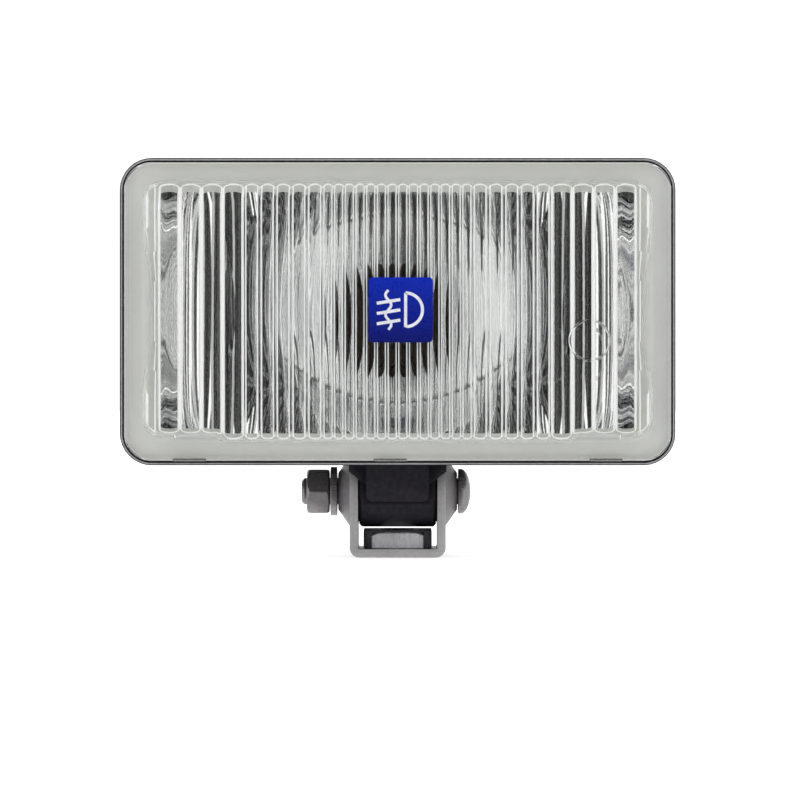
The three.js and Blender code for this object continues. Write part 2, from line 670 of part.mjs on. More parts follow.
function reflector() {
  const margin = 2 * REFLECTOR.flangeMargin;
  const flange = roundedRectangle(LENS_WIDTH - margin, LENS_HEIGHT - margin, LENS_CORNER);
  const outside = dish(REFLECTOR.wall).add(solid(slab(flange, FLANGE_REAR, FLANGE_FRONT)));
  const mouth = roundedRectangle(OPENING_WIDTH, OPENING_HEIGHT, REFLECTOR.openingCorner);
  const bossEnd = back(HOLDER.flangeFront) - GAP;
  const bossFront = bossEnd - RIVET_BOSS.depth;
  const pilotEnd = bossEnd - HOLDER_RIVET.reach;
  const pilot = HOLDER_RIVET.radius + SIDE_GAP;
  const bosses = rivetPlaces.map(([x, z]) => rod(RIVET_BOSS.radius, bossEnd, bossFront, x, z, SMALL_SIDES));
  const pilots = rivetPlaces.map(([x, z]) => rod(pilot, bossEnd + OVER, pilotEnd, x, z, SMALL_SIDES));
  return cut(joined([outside, ...bosses]), [
    ...pilots,
    dish(0),
    solid(slab(mouth, FLANGE_REAR, FLANGE_FRONT - OVER)),
    rod(REFLECTOR.bulbHole, back(REFLECTOR.vertex) + REFLECTOR.wall + OVER, FLANGE_FRONT),
  ]);
}

/** A rubber frame: a thin lip around the glass and a flat seat behind the reflector's flange. */
function gasket() {
  const outerWidth = HEAD.width - 2 * (HOUSING.lip + SIDE_GAP);
  const outerHeight = HEAD.height - 2 * (HOUSING.lip + SIDE_GAP);
  const corner = HEAD.corner - HOUSING.lip - SIDE_GAP;
  const rear = back(HOUSING.ledgeFront) - GAP;
  const seatFront = rear - GASKET.seat + GAP;
  const frame = (inset, from, to) => {
    const innerCorner = Math.max(GASKET.leastCorner, corner - inset);
    const hole = roundedRectangle(outerWidth - 2 * inset, outerHeight - 2 * inset, innerCorner);
    const full = solid(slab(roundedRectangle(outerWidth, outerHeight, corner), from, to));
    return full.subtract(solid(slab(hole, from + OVER, to - OVER)));
  };
  const front = back(HOUSING.lipFront) + SIDE_GAP;
  const rubber = frame(GASKET.lip, rear, front).add(frame(GASKET.seatWidth, rear, seatFront));
  const openings = clipPlaces.map((place) =>
    edgeBlock(
      place,
      LENS_CLIP.width / 2 + GAP,
      -LENS_CLIP.hook - GAP,
      LENS.edgeGap,
      front - OVER,
      rear - GASKET.web,
    ),
  );
  return cut(rubber, openings);
}

/** A spring-steel clip that holds the glass to the reflector's flange at one edge. */
function lensClip(place) {
  const front = back(LENS.edgeFront) + LENS_CLIP.noseDepth - GAP - LENS_CLIP.sheet;
  const rear = FLANGE_REAR + GAP + LENS_CLIP.sheet;
  const half = LENS_CLIP.width / 2;
  const leg = [LENS_CLIP.standOff, LENS_CLIP.standOff + LENS_CLIP.sheet];
  const nose = -LENS_CLIP.hook + GAP;
  return joined([
    edgeBlock(place, half, leg[0], leg[1], front, rear),
    edgeBlock(place, half, nose, leg[1], front, front + LENS_CLIP.sheet),
    edgeBlock(place, half, nose, leg[1], rear - LENS_CLIP.sheet, rear),
  ]);
}

/** The hat-shaped plate that holds the bulb, with two hinge ears above and a catch below. */
function bulbHolder() {
  const crown = back(HOLDER.crownFront);
  const flange = back(HOLDER.flangeFront);
  const rear = flange + HOLDER.sheet;
  const inner = HOLDER.cupRadius - HOLDER.sheet;
  const hat = solid(
    turned([
      [HOLDER.glassHole, crown],
      [HOLDER.cupRadius, crown],
      [HOLDER.cupRadius, flange],
      [HOLDER.flangeRadius, flange],
      [HOLDER.flangeRadius, rear],
      [inner, rear],
      [inner, CROWN_REAR],
      [HOLDER.glassHole, CROWN_REAR],
      [HOLDER.glassHole, crown],
    ]),
  );
  const hinge = clipHinge();
  const sheet = HOLDER.sheet;
  const ears = [-1, 1].map((side) => {
    const earOutside = BULB_CLIP.pivotHalf - BULB_CLIP.proud;
    const xs = [side * earOutside, side * (earOutside - sheet)].sort((a, b) => a - b);
    return block(
      [xs[0], rear - BITE, hinge.z - HINGE_EAR.below],
      [xs[1], hinge.y + HINGE_EAR.behind, hinge.z + HINGE_EAR.above],
    );
  });
  const eye = BULB_CLIP.wire + SIDE_GAP;
  const reach = BULB_CLIP.pivotHalf + OVER;
  const pin = turnedAcross([[0, -reach], [eye, -reach], [eye, reach], [0, reach]], hinge.z, SMALL_SIDES);
  // The catch stands below the wire's loop, and its lip ends just clear of the loop's path.
  const catchRear = hinge.y + BULB_CLIP.wire + GAP + sheet;
  const lipTop = clipLoop(hinge).z - BULB_CLIP.wire - GAP;
  const postTop = lipTop - CATCH.lip;
  const catchPost = block([-CATCH.half, rear - BITE, postTop - sheet], [CATCH.half, catchRear, postTop]);
  const catchLip = block([-CATCH.half, catchRear - sheet, postTop - sheet], [CATCH.half, catchRear, lipTop]);
  const catchFoot = block([-CATCH.half, flange, postTop - sheet], [CATCH.half, rear, -HOLDER.cupRadius]);
  return cut(joined([hat, ...ears, catchFoot, catchPost, catchLip]), [pin.translate([0, hinge.y, 0])]);
}

/** The axis that the bulb clip turns on, in the head's frame. */
function clipHinge() {
  const rear = back(HOLDER.flangeFront) + HOLDER.sheet;
  return { y: rear + BULB_CLIP.wire + BULB_CLIP.hingeRear, z: BULB_CLIP.hingeRise };
}

/** Where the wire's lower loop crosses the middle. */
function clipLoop(hinge) {
  return { y: hinge.y, z: -hinge.z - BULB_CLIP.loopDrop };
}

/** The bulb clip's wire: from one pivot, down over the bulb's flange, round the end and back. */
function bulbClip() {
  const hinge = clipHinge();
  const loop = clipLoop(hinge);
  const { bend, straight, pressHalf, ramp } = BULB_CLIP;
  const earInside = BULB_CLIP.pivotHalf - BULB_CLIP.proud - HOLDER.sheet;
  const leg = earInside - GAP - BULB_CLIP.wire;
  const pressed = BULB_SEAT + BULB.flange + GAP + BULB_CLIP.wire;
  const side = (x) => [
    [x * BULB_CLIP.pivotHalf, hinge.y, hinge.z],
    [x * (earInside - SEAM), hinge.y, hinge.z],
    [x * (leg + bend / 4), hinge.y, hinge.z - bend / 4],
    [x * leg, hinge.y, hinge.z - bend],
    [x * leg, hinge.y, hinge.z - straight],
    [x * leg, pressed + ramp / 2, pressHalf + ramp],
    [x * leg, pressed, pressHalf],
    [x * leg, pressed, -pressHalf],
    [x * leg, pressed + ramp / 2, -pressHalf - ramp],
    [x * leg, hinge.y, straight - hinge.z],
    [x * leg, hinge.y, bend - hinge.z],
    [x * (leg - bend), hinge.y, loop.z],
  ];
  return wire([...side(-1), [0, loop.y, loop.z], ...side(1).reverse()], BULB_CLIP.wire, 3, 70);
}

function addBulb() {
  const seat = BULB_SEAT;
  const radius = BULB.glassRadius;
  const inside = radius - BULB.glassWall;
  const tip = seat - BULB.tip;
  const root = seat - BULB.rootInside;
  // The envelope is open at its root, inside the metal base.
  const dome = (r, end) => [0, 0.35, 0.65, 0.88, 1].map((s) => [r * s, end + r * (1 - Math.sqrt(1 - s * s))]);
  const inner = dome(inside, tip + BULB.glassWall).reverse();
  piece(head, "bulb_glass", turned([...dome(radius, tip), [radius, root], [inside, root], ...inner]), GLASS);

  const coil = seat - BULB.filament;
  const coilBar = bar(BULB.coilRadius, -BULB.coilHalf, BULB.coilHalf, 0).translate([0, coil, 0]);
  const legEnd = seat - BITE;
  const legs = [-1, 1].map((s) => rod(BULB.legRadius, legEnd, coil, s * BULB.legX, 0, SMALL_SIDES));
  piece(head, "bulb_filament", joined([...legs, coilBar]), TUNGSTEN);

  const collar = radius + BULB.collarWall;
  const floor = seat + SIDE_GAP;
  const base = turned([
    [0, floor],
    [collar, floor],
    [collar, seat - BULB.collarLength],
    [BULB.collarRadius, seat - BULB.collarLength],
    [BULB.collarRadius, seat],
    [BULB.flangeRadius, seat],
    [BULB.flangeRadius, seat + BULB.flange],
    [BULB.capRadius, seat + BULB.flange],
    [BULB.capRadius, seat + BULB.capRear],
    [0, seat + BULB.capRear],
  ]);
  piece(head, "bulb_base", base, ZINC);

  const plugFront = seat + BULB.capRear + GAP;
  const plugRear = plugFront + BULB.plugLength;
  piece(head, "bulb_insulator", rod(BULB.plugRadius, plugRear, plugFront), CERAMIC);

  // The bulb's own lead: back out of the insulator, up between the clip's legs, then aside.
  const exit = plugRear + GAP;
  const { rise, end } = BULB_LEAD;
  const lead = [
    [0, exit, 0],
    [0, exit + 1.4, 0.3],
    [0, exit + 2.6, 2.2],
    [0, exit + 2.9, 6],
    [-0.5, exit + 2.6, 12],
    [-2.5, exit + 1.6, 18],
    [-7, exit + 0.6, rise - 1],
    [-14, exit, rise],
    [end, exit, rise],
  ];
  piece(head, "bulb_lead", wire(lead, BULB_LEAD.radius, 4, 44), LEAD_SLEEVE);

  const across = ([, thick, high], from, to) =>
    block([to, exit - thick / 2, rise - high / 2], [from, exit + thick / 2, rise + high / 2]);
  const start = end - GAP;
  const crimpEnd = start - TERMINAL.crimp[0];
  const terminal = across(TERMINAL.crimp, start, crimpEnd).add(
    across(TERMINAL.blade, crimpEnd + BITE, crimpEnd - TERMINAL.blade[0]),
  );
  piece(head, "lead_terminal", terminal, BRASS);
}

function addOpticUnit() {
  piece(head, "lens", lens(), GLASS);
  const badge = roundedRectangle(BADGE.width, BADGE.height, BADGE.corner);
  piece(head, "badge", slab(badge, FRONT + BADGE.thick, FRONT).translate(BADGE.right, 0, BADGE.up), BLUE);
  piece(head, "reflector", reflector(), MIRROR);
  piece(head, "lens_gasket", gasket(), RUBBER);
  const names = ["left", "centre", "right"];
  clipPlaces.forEach((place, i) => piece(head, `lens_clip_${names[i]}`, lensClip(place), SPRING_STEEL));

  const rear = back(HOLDER.flangeFront) + HOLDER.sheet;
  const hole = HOLDER_RIVET.radius + SIDE_GAP;
  const tabFront = rear + GAP;
  const tabRear = tabFront + GROUND_TAB.sheet;
  const holeFront = back(HOLDER.flangeFront) - OVER;
  const holes = rivetPlaces.map(([x, z]) => rod(hole, tabRear + OVER, holeFront, x, z, SMALL_SIDES));
  piece(head, "bulb_holder", cut(bulbHolder(), holes), STEEL);

  // A blade for the earth wire, under the rivet on the right below the bulb.
  const left = HOLDER_RIVET.x - GROUND_TAB.foot / 2;
  const tab = block(
    [left, tabFront, -HOLDER_RIVET.z - GROUND_TAB.foot / 2],
    [GROUND_TAB.bladeStart, tabRear, -HOLDER_RIVET.z + GROUND_TAB.foot / 2],
  ).add(
    block(
      [GROUND_TAB.bladeStart - BITE, tabFront, -HOLDER_RIVET.z - GROUND_TAB.blade / 2],
      [left + GROUND_TAB.length, tabRear, -HOLDER_RIVET.z + GROUND_TAB.blade / 2],
    ),
  );
  piece(head, "ground_tab", cut(tab, holes), BRASS);

  rivetPlaces.forEach(([x, z], i) => {
    const seat = x > 0 && z < 0 ? tabRear : rear;
    const top = seat + GAP + HOLDER_RIVET.headHeight;
    const end = back(HOLDER.flangeFront) - HOLDER_RIVET.reach;
    const rivet = rod(HOLDER_RIVET.radius, top, end, x, z, SMALL_SIDES).add(
      rod(HOLDER_RIVET.headRadius, top, seat + GAP, x, z, SMALL_SIDES),
    );
    piece(head, `holder_rivet_${i + 1}`, rivet, STEEL);
  });
  addBulb();
  piece(head, "bulb_clip", bulbClip(), SPRING_STEEL);
}

addBracket();
addHousing();
addOpticUnit();

export default light;
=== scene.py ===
"""Looks of a rectangular halogen fog light on a U bracket, built around its CAD frame, in metres.

Each sub-assembly is a class that builds its meshes with bmesh operators and dresses them, each
finish is a small frozen dataclass, and main() builds the classes in order.
"""

from __future__ import annotations

import logging
import math
from collections.abc import Callable, Iterable, Sequence
from dataclasses import dataclass, field
from enum import Enum

import bmesh
import bpy
from mathutils import Matrix, Vector


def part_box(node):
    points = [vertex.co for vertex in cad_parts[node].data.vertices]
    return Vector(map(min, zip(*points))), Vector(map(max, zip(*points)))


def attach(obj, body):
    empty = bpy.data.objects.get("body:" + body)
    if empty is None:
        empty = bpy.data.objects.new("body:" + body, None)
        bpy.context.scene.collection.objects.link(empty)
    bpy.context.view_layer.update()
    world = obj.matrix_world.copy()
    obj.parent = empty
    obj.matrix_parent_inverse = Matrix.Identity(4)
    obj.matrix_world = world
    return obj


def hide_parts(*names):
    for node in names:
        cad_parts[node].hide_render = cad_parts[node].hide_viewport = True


LOG = logging.getLogger("fog_light")
MM = 0.001
MERGE = 1e-6
CAD_MERGE = 2e-6
BEVEL_ANGLE = 35.0
Point = tuple[float, float]


class Body(Enum):
    """The moving bodies of the lamp."""

    BRACKET = "bracket"
    HEAD = "head"
    OPTIC = "optic_unit"
    CLIP = "bulb_clip"


class Slot(Enum):
    """The record's material slots."""

    BRACKET_STEEL = "bracket_steel"
    PLATED_STEEL = "plated_steel"
    PLASTIC = "housing_plastic"
    RUBBER = "rubber"
    LENS = "lens_glass"
    BADGE = "badge_blue"
    MIRROR = "reflector_mirror"
    SPRING = "spring_steel"
    BULB = "bulb_glass"
    TUNGSTEN = "tungsten"
    CERAMIC = "ceramic"
    BRASS = "brass"
    SLEEVE = "lead_sleeve"


# ------------------------------------------------------------------ shader node groups
def link(tree: bpy.types.NodeTree, source: bpy.types.NodeSocket, target: bpy.types.NodeSocket) -> None:
    """Links two sockets of one node tree."""
    tree.links.new(source, target)


class Effects:
    """Shared shader node groups, each built once and placed in the materials that use it."""

    @staticmethod
    def _group(
        name: str, inputs: dict[str, float]
    ) -> tuple[bpy.types.NodeTree, bpy.types.Node, bpy.types.Node]:
        """Starts a node group with a Vector input, inputs for numbers and a Mask output.

        Args:
            name: the group's name.
            inputs: the default of each number.

        Returns:
            The group, its input node and its output node.
        """
        group = bpy.data.node_groups.new(name, "ShaderNodeTree")
        group.interface.new_socket("Vector", in_out="INPUT", socket_type="NodeSocketVector")
        for label, default in inputs.items():
            socket = group.interface.new_socket(label, in_out="INPUT", socket_type="NodeSocketFloat")
            socket.default_value = default
        group.interface.new_socket("Mask", in_out="OUTPUT", socket_type="NodeSocketFloat")
        return group, group.nodes.new("NodeGroupInput"), group.nodes.new("NodeGroupOutput")

    @staticmethod
    def cloudiness() -> bpy.types.NodeTree:
        """Slow blotches and fine grain as one mask from 0 to 1.

        Returns:
            A group with Scale and Grain inputs and a Mask output.
        """
        name = "cloudiness"
        if name in bpy.data.node_groups:
            return bpy.data.node_groups[name]
        group, start, end = Effects._group(name, {"Scale": 40.0, "Grain": 0.4})
        slow = group.nodes.new("ShaderNodeTexNoise")
        slow.inputs["Detail"].default_value = 4.0
        fine = group.nodes.new("ShaderNodeTexNoise")
        fine.inputs["Detail"].default_value = 6.0
        grow = group.nodes.new("ShaderNodeMath")
        grow.operation = "MULTIPLY"
        grow.inputs[1].default_value = 14.0
        mix = group.nodes.new("ShaderNodeMix")
        for noise in (slow, fine):
            link(group, start.outputs["Vector"], noise.inputs["Vector"])
        link(group, start.outputs["Scale"], slow.inputs["Scale"])
        link(group, start.outputs["Scale"], grow.inputs[0])
        link(group, grow.outputs[0], fine.inputs["Scale"])
        link(group, start.outputs["Grain"], mix.inputs["Factor"])
        link(group, slow.outputs["Fac"], mix.inputs["A"])
        link(group, fine.outputs["Fac"], mix.inputs["B"])
        link(group, mix.outputs["Result"], end.inputs["Mask"])
        return group

    @staticmethod
    def brushing() -> bpy.types.NodeTree:
        """Fine parallel scratches along one axis, as a mask from 0 to 1.

        Returns:
            A group with AlongX, AlongY and AlongZ inputs, the scratches' scales, and a Mask output.
        """
        name = "brushing"
        if name in bpy.data.node_groups:
            return bpy.data.node_groups[name]
        group, start, end = Effects._group(name, {f"Along{axis}": 1000.0 for axis in "XYZ"})
        combine = group.nodes.new("ShaderNodeCombineXYZ")
        for axis in "XYZ":
            link(group, start.outputs[f"Along{axis}"], combine.inputs[axis])
        stretch = group.nodes.new("ShaderNodeVectorMath")
        stretch.operation = "MULTIPLY"
        link(group, start.outputs["Vector"], stretch.inputs[0])
        link(group, combine.outputs["Vector"], stretch.inputs[1])
        noise = group.nodes.new("ShaderNodeTexNoise")
        noise.inputs["Scale"].default_value = 1.0
        noise.inputs["Detail"].default_value = 3.0
        link(group, stretch.outputs["Vector"], noise.inputs["Vector"])
        link(group, noise.outputs["Fac"], end.inputs["Mask"])
        return group

    @staticmethod
    def edge_wear() -> bpy.types.NodeTree:
        """Rubbed edges and painted edge highlights: brightness along convex edges, broken up by noise, as a
        mask from 0 to 1.

        Returns:
            A group with Scale and Amount inputs and a Mask output.
        """
        name = "edge_wear"
        if name in bpy.data.node_groups:
            return bpy.data.node_groups[name]
        group, start, end = Effects._group(name, {"Scale": 300.0, "Amount": 0.5})
        geometry = group.nodes.new("ShaderNodeNewGeometry")
        sharp = group.nodes.new("ShaderNodeMapRange")
        sharp.inputs["From Min"].default_value = 0.52
        sharp.inputs["From Max"].default_value = 0.62
        link(group, geometry.outputs["Pointiness"], sharp.inputs["Value"])
        noise = group.nodes.new("ShaderNodeTexNoise")
        link(group, start.outputs["Vector"], noise.inputs["Vector"])
        link(group, start.outputs["Scale"], noise.inputs["Scale"])
        broken = group.nodes.new("ShaderNodeMath")
        broken.operation = "MULTIPLY"
        link(group, sharp.outputs["Result"], broken.inputs[0])
        link(group, noise.outputs["Fac"], broken.inputs[1])
        amount = group.nodes.new("ShaderNodeMath")
        amount.operation = "MULTIPLY"
        amount.use_clamp = True
        link(group, broken.outputs[0], amount.inputs[0])
        link(group, start.outputs["Amount"], amount.inputs[1])
        link(group, amount.outputs[0], end.inputs["Mask"])
        return group


class Painter:
    """One material while it is being built: a Principled shader and helpers around it."""

    def __init__(self, name: str) -> None:
        """Starts a material.

        Args:
            name: the material's name.
        """
        self.material = bpy.data.materials.new(name)
        self.material.use_nodes = True
        self.tree = self.material.node_tree
        self.shader = self.tree.nodes["Principled BSDF"]
        self.place = self.tree.nodes.new("ShaderNodeTexCoord").outputs["Object"]

    def set(self, **values: object) -> Painter:
        """Sets the shader's own sockets, with underscores for the spaces in their names."""
        for label, value in values.items():
            self.shader.inputs[label.replace("_", " ")].default_value = value
        return self

    def effect(self, group: bpy.types.NodeTree, **values: float) -> bpy.types.NodeSocket:
        """Places a shared effect.

        Args:
            group: the effect's node group.
            values: its inputs' values.

        Returns:
            The effect's mask.
        """
        node = self.tree.nodes.new("ShaderNodeGroup")
        node.node_tree = group
        link(self.tree, self.place, node.inputs["Vector"])
        for label, value in values.items():
            node.inputs[label].default_value = value
        return node.outputs["Mask"]

    def between(self, mask: bpy.types.NodeSocket, low: float, high: float) -> bpy.types.NodeSocket:
        """Maps the middle of a mask to the range from low to high.

        Args:
            mask: the mask.
            low: the value where the mask is dark.
            high: the value where it is light.

        Returns:
            The mapped value.
        """
        node = self.tree.nodes.new("ShaderNodeMapRange")
        node.inputs["From Min"].default_value = 0.3
        node.inputs["From Max"].default_value = 0.7
        node.inputs["To Min"].default_value = low
        node.inputs["To Max"].default_value = high
        link(self.tree, mask, node.inputs["Value"])
        return node.outputs["Result"]

    def colours(
        self, mask: bpy.types.NodeSocket, dark: Sequence[float], light: Sequence[float]
    ) -> bpy.types.NodeSocket:
        """Mixes two colours by a mask.

        Args:
            mask: 0 for the dark colour and 1 for the light one.
            dark: the linear colour at 0.
            light: the linear colour at 1.

        Returns:
            The mixed colour.
        """
        node = self.tree.nodes.new("ShaderNodeMix")
        node.data_type = "RGBA"
        node.inputs[6].default_value = (*dark, 1.0)
        node.inputs[7].default_value = (*light, 1.0)
        link(self.tree, mask, node.inputs["Factor"])
        return node.outputs[2]

    def lay_wear_and_highlight(
        self, colour: bpy.types.NodeSocket, wear_and_highlight: bpy.types.NodeSocket, wear_and_highlight_colour: Sequence[float]
    ) -> bpy.types.NodeSocket:
        """Lays a lighter colour over another along rubbed edges, which also paints highlights there.

        Args:
            colour: the colour of the sound surface.
            wear_and_highlight: where the surface is rubbed, which is also where highlights are painted.
            wear_and_highlight_colour: the colour there, for both.

        Returns:
            The colour of both.
        """
        node = self.tree.nodes.new("ShaderNodeMix")
        node.data_type = "RGBA"
        node.inputs[7].default_value = (*wear_and_highlight_colour, 1.0)
        link(self.tree, colour, node.inputs[6])
        link(self.tree, wear_and_highlight, node.inputs["Factor"])
        return node.outputs[2]

    def paint(self, label: str, value: bpy.types.NodeSocket) -> Painter:
        """Feeds a socket of the shader."""
        link(self.tree, value, self.shader.inputs[label])
        return self

    def bump(self, height: bpy.types.NodeSocket, depth: float) -> Painter:
        """Feeds the shader's normal from a height.

        Args:
            height: the height, from 0 to 1.
            depth: what 1 stands for, in metres.

        Returns:
            The painter.
        """
        node = self.tree.nodes.new("ShaderNodeBump")
        node.inputs["Distance"].default_value = depth
        node.inputs["Strength"].default_value = 1.0
        link(self.tree, height, node.inputs["Height"])
        link(self.tree, node.outputs["Normal"], self.shader.inputs["Normal"])
        return self


# ------------------------------------------------------------------ finishes
@dataclass(frozen=True)
class Metal:
    """An uncoated or plated metal with brushing, blotches, and lightened edges that are partly rubbed metal
    and partly painted highlights.
    """

    name: str
    dark: tuple[float, float, float]
    light: tuple[float, float, float]
    smooth: float
    rough: float
    scratches: tuple[float, float, float] = (90.0, 2200.0, 2200.0)
    depth: float = 4e-6
    metallic: float = 1.0

    def material(self) -> bpy.types.Material:
        """Builds the material.

        Returns:
            The metal.
        """
        paint = Painter(self.name).set(Metallic=self.metallic)
        cloud = paint.effect(Effects.cloudiness(), Scale=90.0, Grain=0.45)
        scales = dict(zip(("AlongX", "AlongY", "AlongZ"), self.scratches))
        brush = paint.effect(Effects.brushing(), **scales)
        wear_and_highlight = paint.effect(Effects.edge_wear(), Scale=500.0, Amount=1.2)
        colour = paint.colours(paint.between(cloud, 0.0, 1.0), self.dark, self.light)
        # Rubbed edges and painted highlights: convex edges turn a quarter lighter than the light colour.
        bright = tuple(min(1.0, 1.25 * part) for part in self.light)
        paint.paint("Base Color", paint.lay_wear_and_highlight(colour, wear_and_highlight, bright))
        paint.paint("Roughness", paint.between(brush, self.smooth, self.rough))
        return paint.bump(brush, self.depth).material


@dataclass(frozen=True)
class Moulding:
    """A moulded plastic or rubber with a fine grain, and lighter edges that are partly rubbed and partly
    painted highlights.
    """

    name: str
    dark: tuple[float, float, float]
    light: tuple[float, float, float]
    smooth: float
    rough: float
    grain: float = 1500.0
    depth: float = 1.2e-5
    gloss: float = 0.4
    wear_and_highlight_colour: tuple[float, float, float] = (0.09, 0.09, 0.095)

    def material(self) -> bpy.types.Material:
        """Builds the material.

        Returns:
            The plastic or rubber.
        """
        paint = Painter(self.name).set(Specular_IOR_Level=self.gloss)
        cloud = paint.effect(Effects.cloudiness(), Scale=60.0, Grain=0.5)
        grain = paint.effect(Effects.cloudiness(), Scale=self.grain, Grain=0.3)
        # Rubbed edges and painted highlights: convex edges turn a lighter colour.
        wear_and_highlight = paint.effect(Effects.edge_wear(), Scale=700.0, Amount=0.5)
        colour = paint.colours(paint.between(cloud, 0.0, 1.0), self.dark, self.light)
        paint.paint("Base Color", paint.lay_wear_and_highlight(colour, wear_and_highlight, self.wear_and_highlight_colour))
        paint.paint("Roughness", paint.between(cloud, self.smooth, self.rough))
        return paint.bump(grain, self.depth).material


@dataclass(frozen=True)
class Glass:
    """A pressed or drawn glass with faint surface waves, clear unless it carries a painted highlight: less
    transmission and light of its own.
    """

    name: str
    tint: tuple[float, float, float]
    roughness: float
    wave: float
    depth: float
    index: float = 1.5
    clear: float = 1.0
    painted_glow: float = 0.0

    def material(self) -> bpy.types.Material:
        """Builds the material.

        Returns:
            The glass.
        """
        paint = Painter(self.name).set(
            Base_Color=(*self.tint, 1.0), Roughness=self.roughness, IOR=self.index
        )
        paint.set(Transmission_Weight=self.clear)
        # Painted highlight: the glass emits light though it is no lamp.
        if self.painted_glow > 0:
            paint.set(Emission_Color=(1.0, 1.0, 1.0, 1.0), Emission_Strength=self.painted_glow)
        ripple = paint.effect(Effects.cloudiness(), Scale=self.wave, Grain=0.15)
        return paint.bump(ripple, self.depth).material


@dataclass(frozen=True)
class Mirror:
    """A vapour-coated mirror over a lacquered base, with a faint orange peel."""

    name: str
    dark: tuple[float, float, float]
    light: tuple[float, float, float]
    smooth: float
    rough: float
    depth: float

    def material(self) -> bpy.types.Material:
        """Builds the material.

        Returns:
            The mirror.
        """
        paint = Painter(self.name).set(Metallic=1.0)
        cloud = paint.effect(Effects.cloudiness(), Scale=35.0, Grain=0.2)
        peel = paint.effect(Effects.cloudiness(), Scale=220.0, Grain=0.1)
        paint.paint("Base Color", paint.colours(paint.between(cloud, 0.0, 1.0), self.dark, self.light))
        paint.paint("Roughness", paint.between(cloud, self.smooth, self.rough))
        return paint.bump(peel, self.depth).material


@dataclass(frozen=True)
class ShadedEnamel:
    """A glossy blue enamel with a painted shade that darkens it towards its lower edge."""

    name: str
    upper: tuple[float, float, float]
    lower: tuple[float, float, float]
    top: float
    bottom: float

    def material(self) -> bpy.types.Material:
        """Builds the material.

        Returns:
            The enamel.
        """
        paint = Painter(self.name).set(Coat_Weight=0.15, Coat_Roughness=0.05, Specular_IOR_Level=0.15)
        split = paint.tree.nodes.new("ShaderNodeSeparateXYZ")
        link(paint.tree, paint.place, split.inputs[0])
        # Painted shade: the blue darkens from the badge's top down to its lower edge.
        fade = paint.tree.nodes.new("ShaderNodeMapRange")
        fade.inputs["From Min"].default_value = self.bottom
        fade.inputs["From Max"].default_value = self.top
        link(paint.tree, split.outputs["Z"], fade.inputs["Value"])
        cloud = paint.effect(Effects.cloudiness(), Scale=250.0, Grain=0.6)
        paint.paint("Base Color", paint.colours(fade.outputs["Result"], self.lower, self.upper))
        paint.paint("Roughness", paint.between(cloud, 0.22, 0.38))
        return paint.bump(cloud, 1.5e-5).material


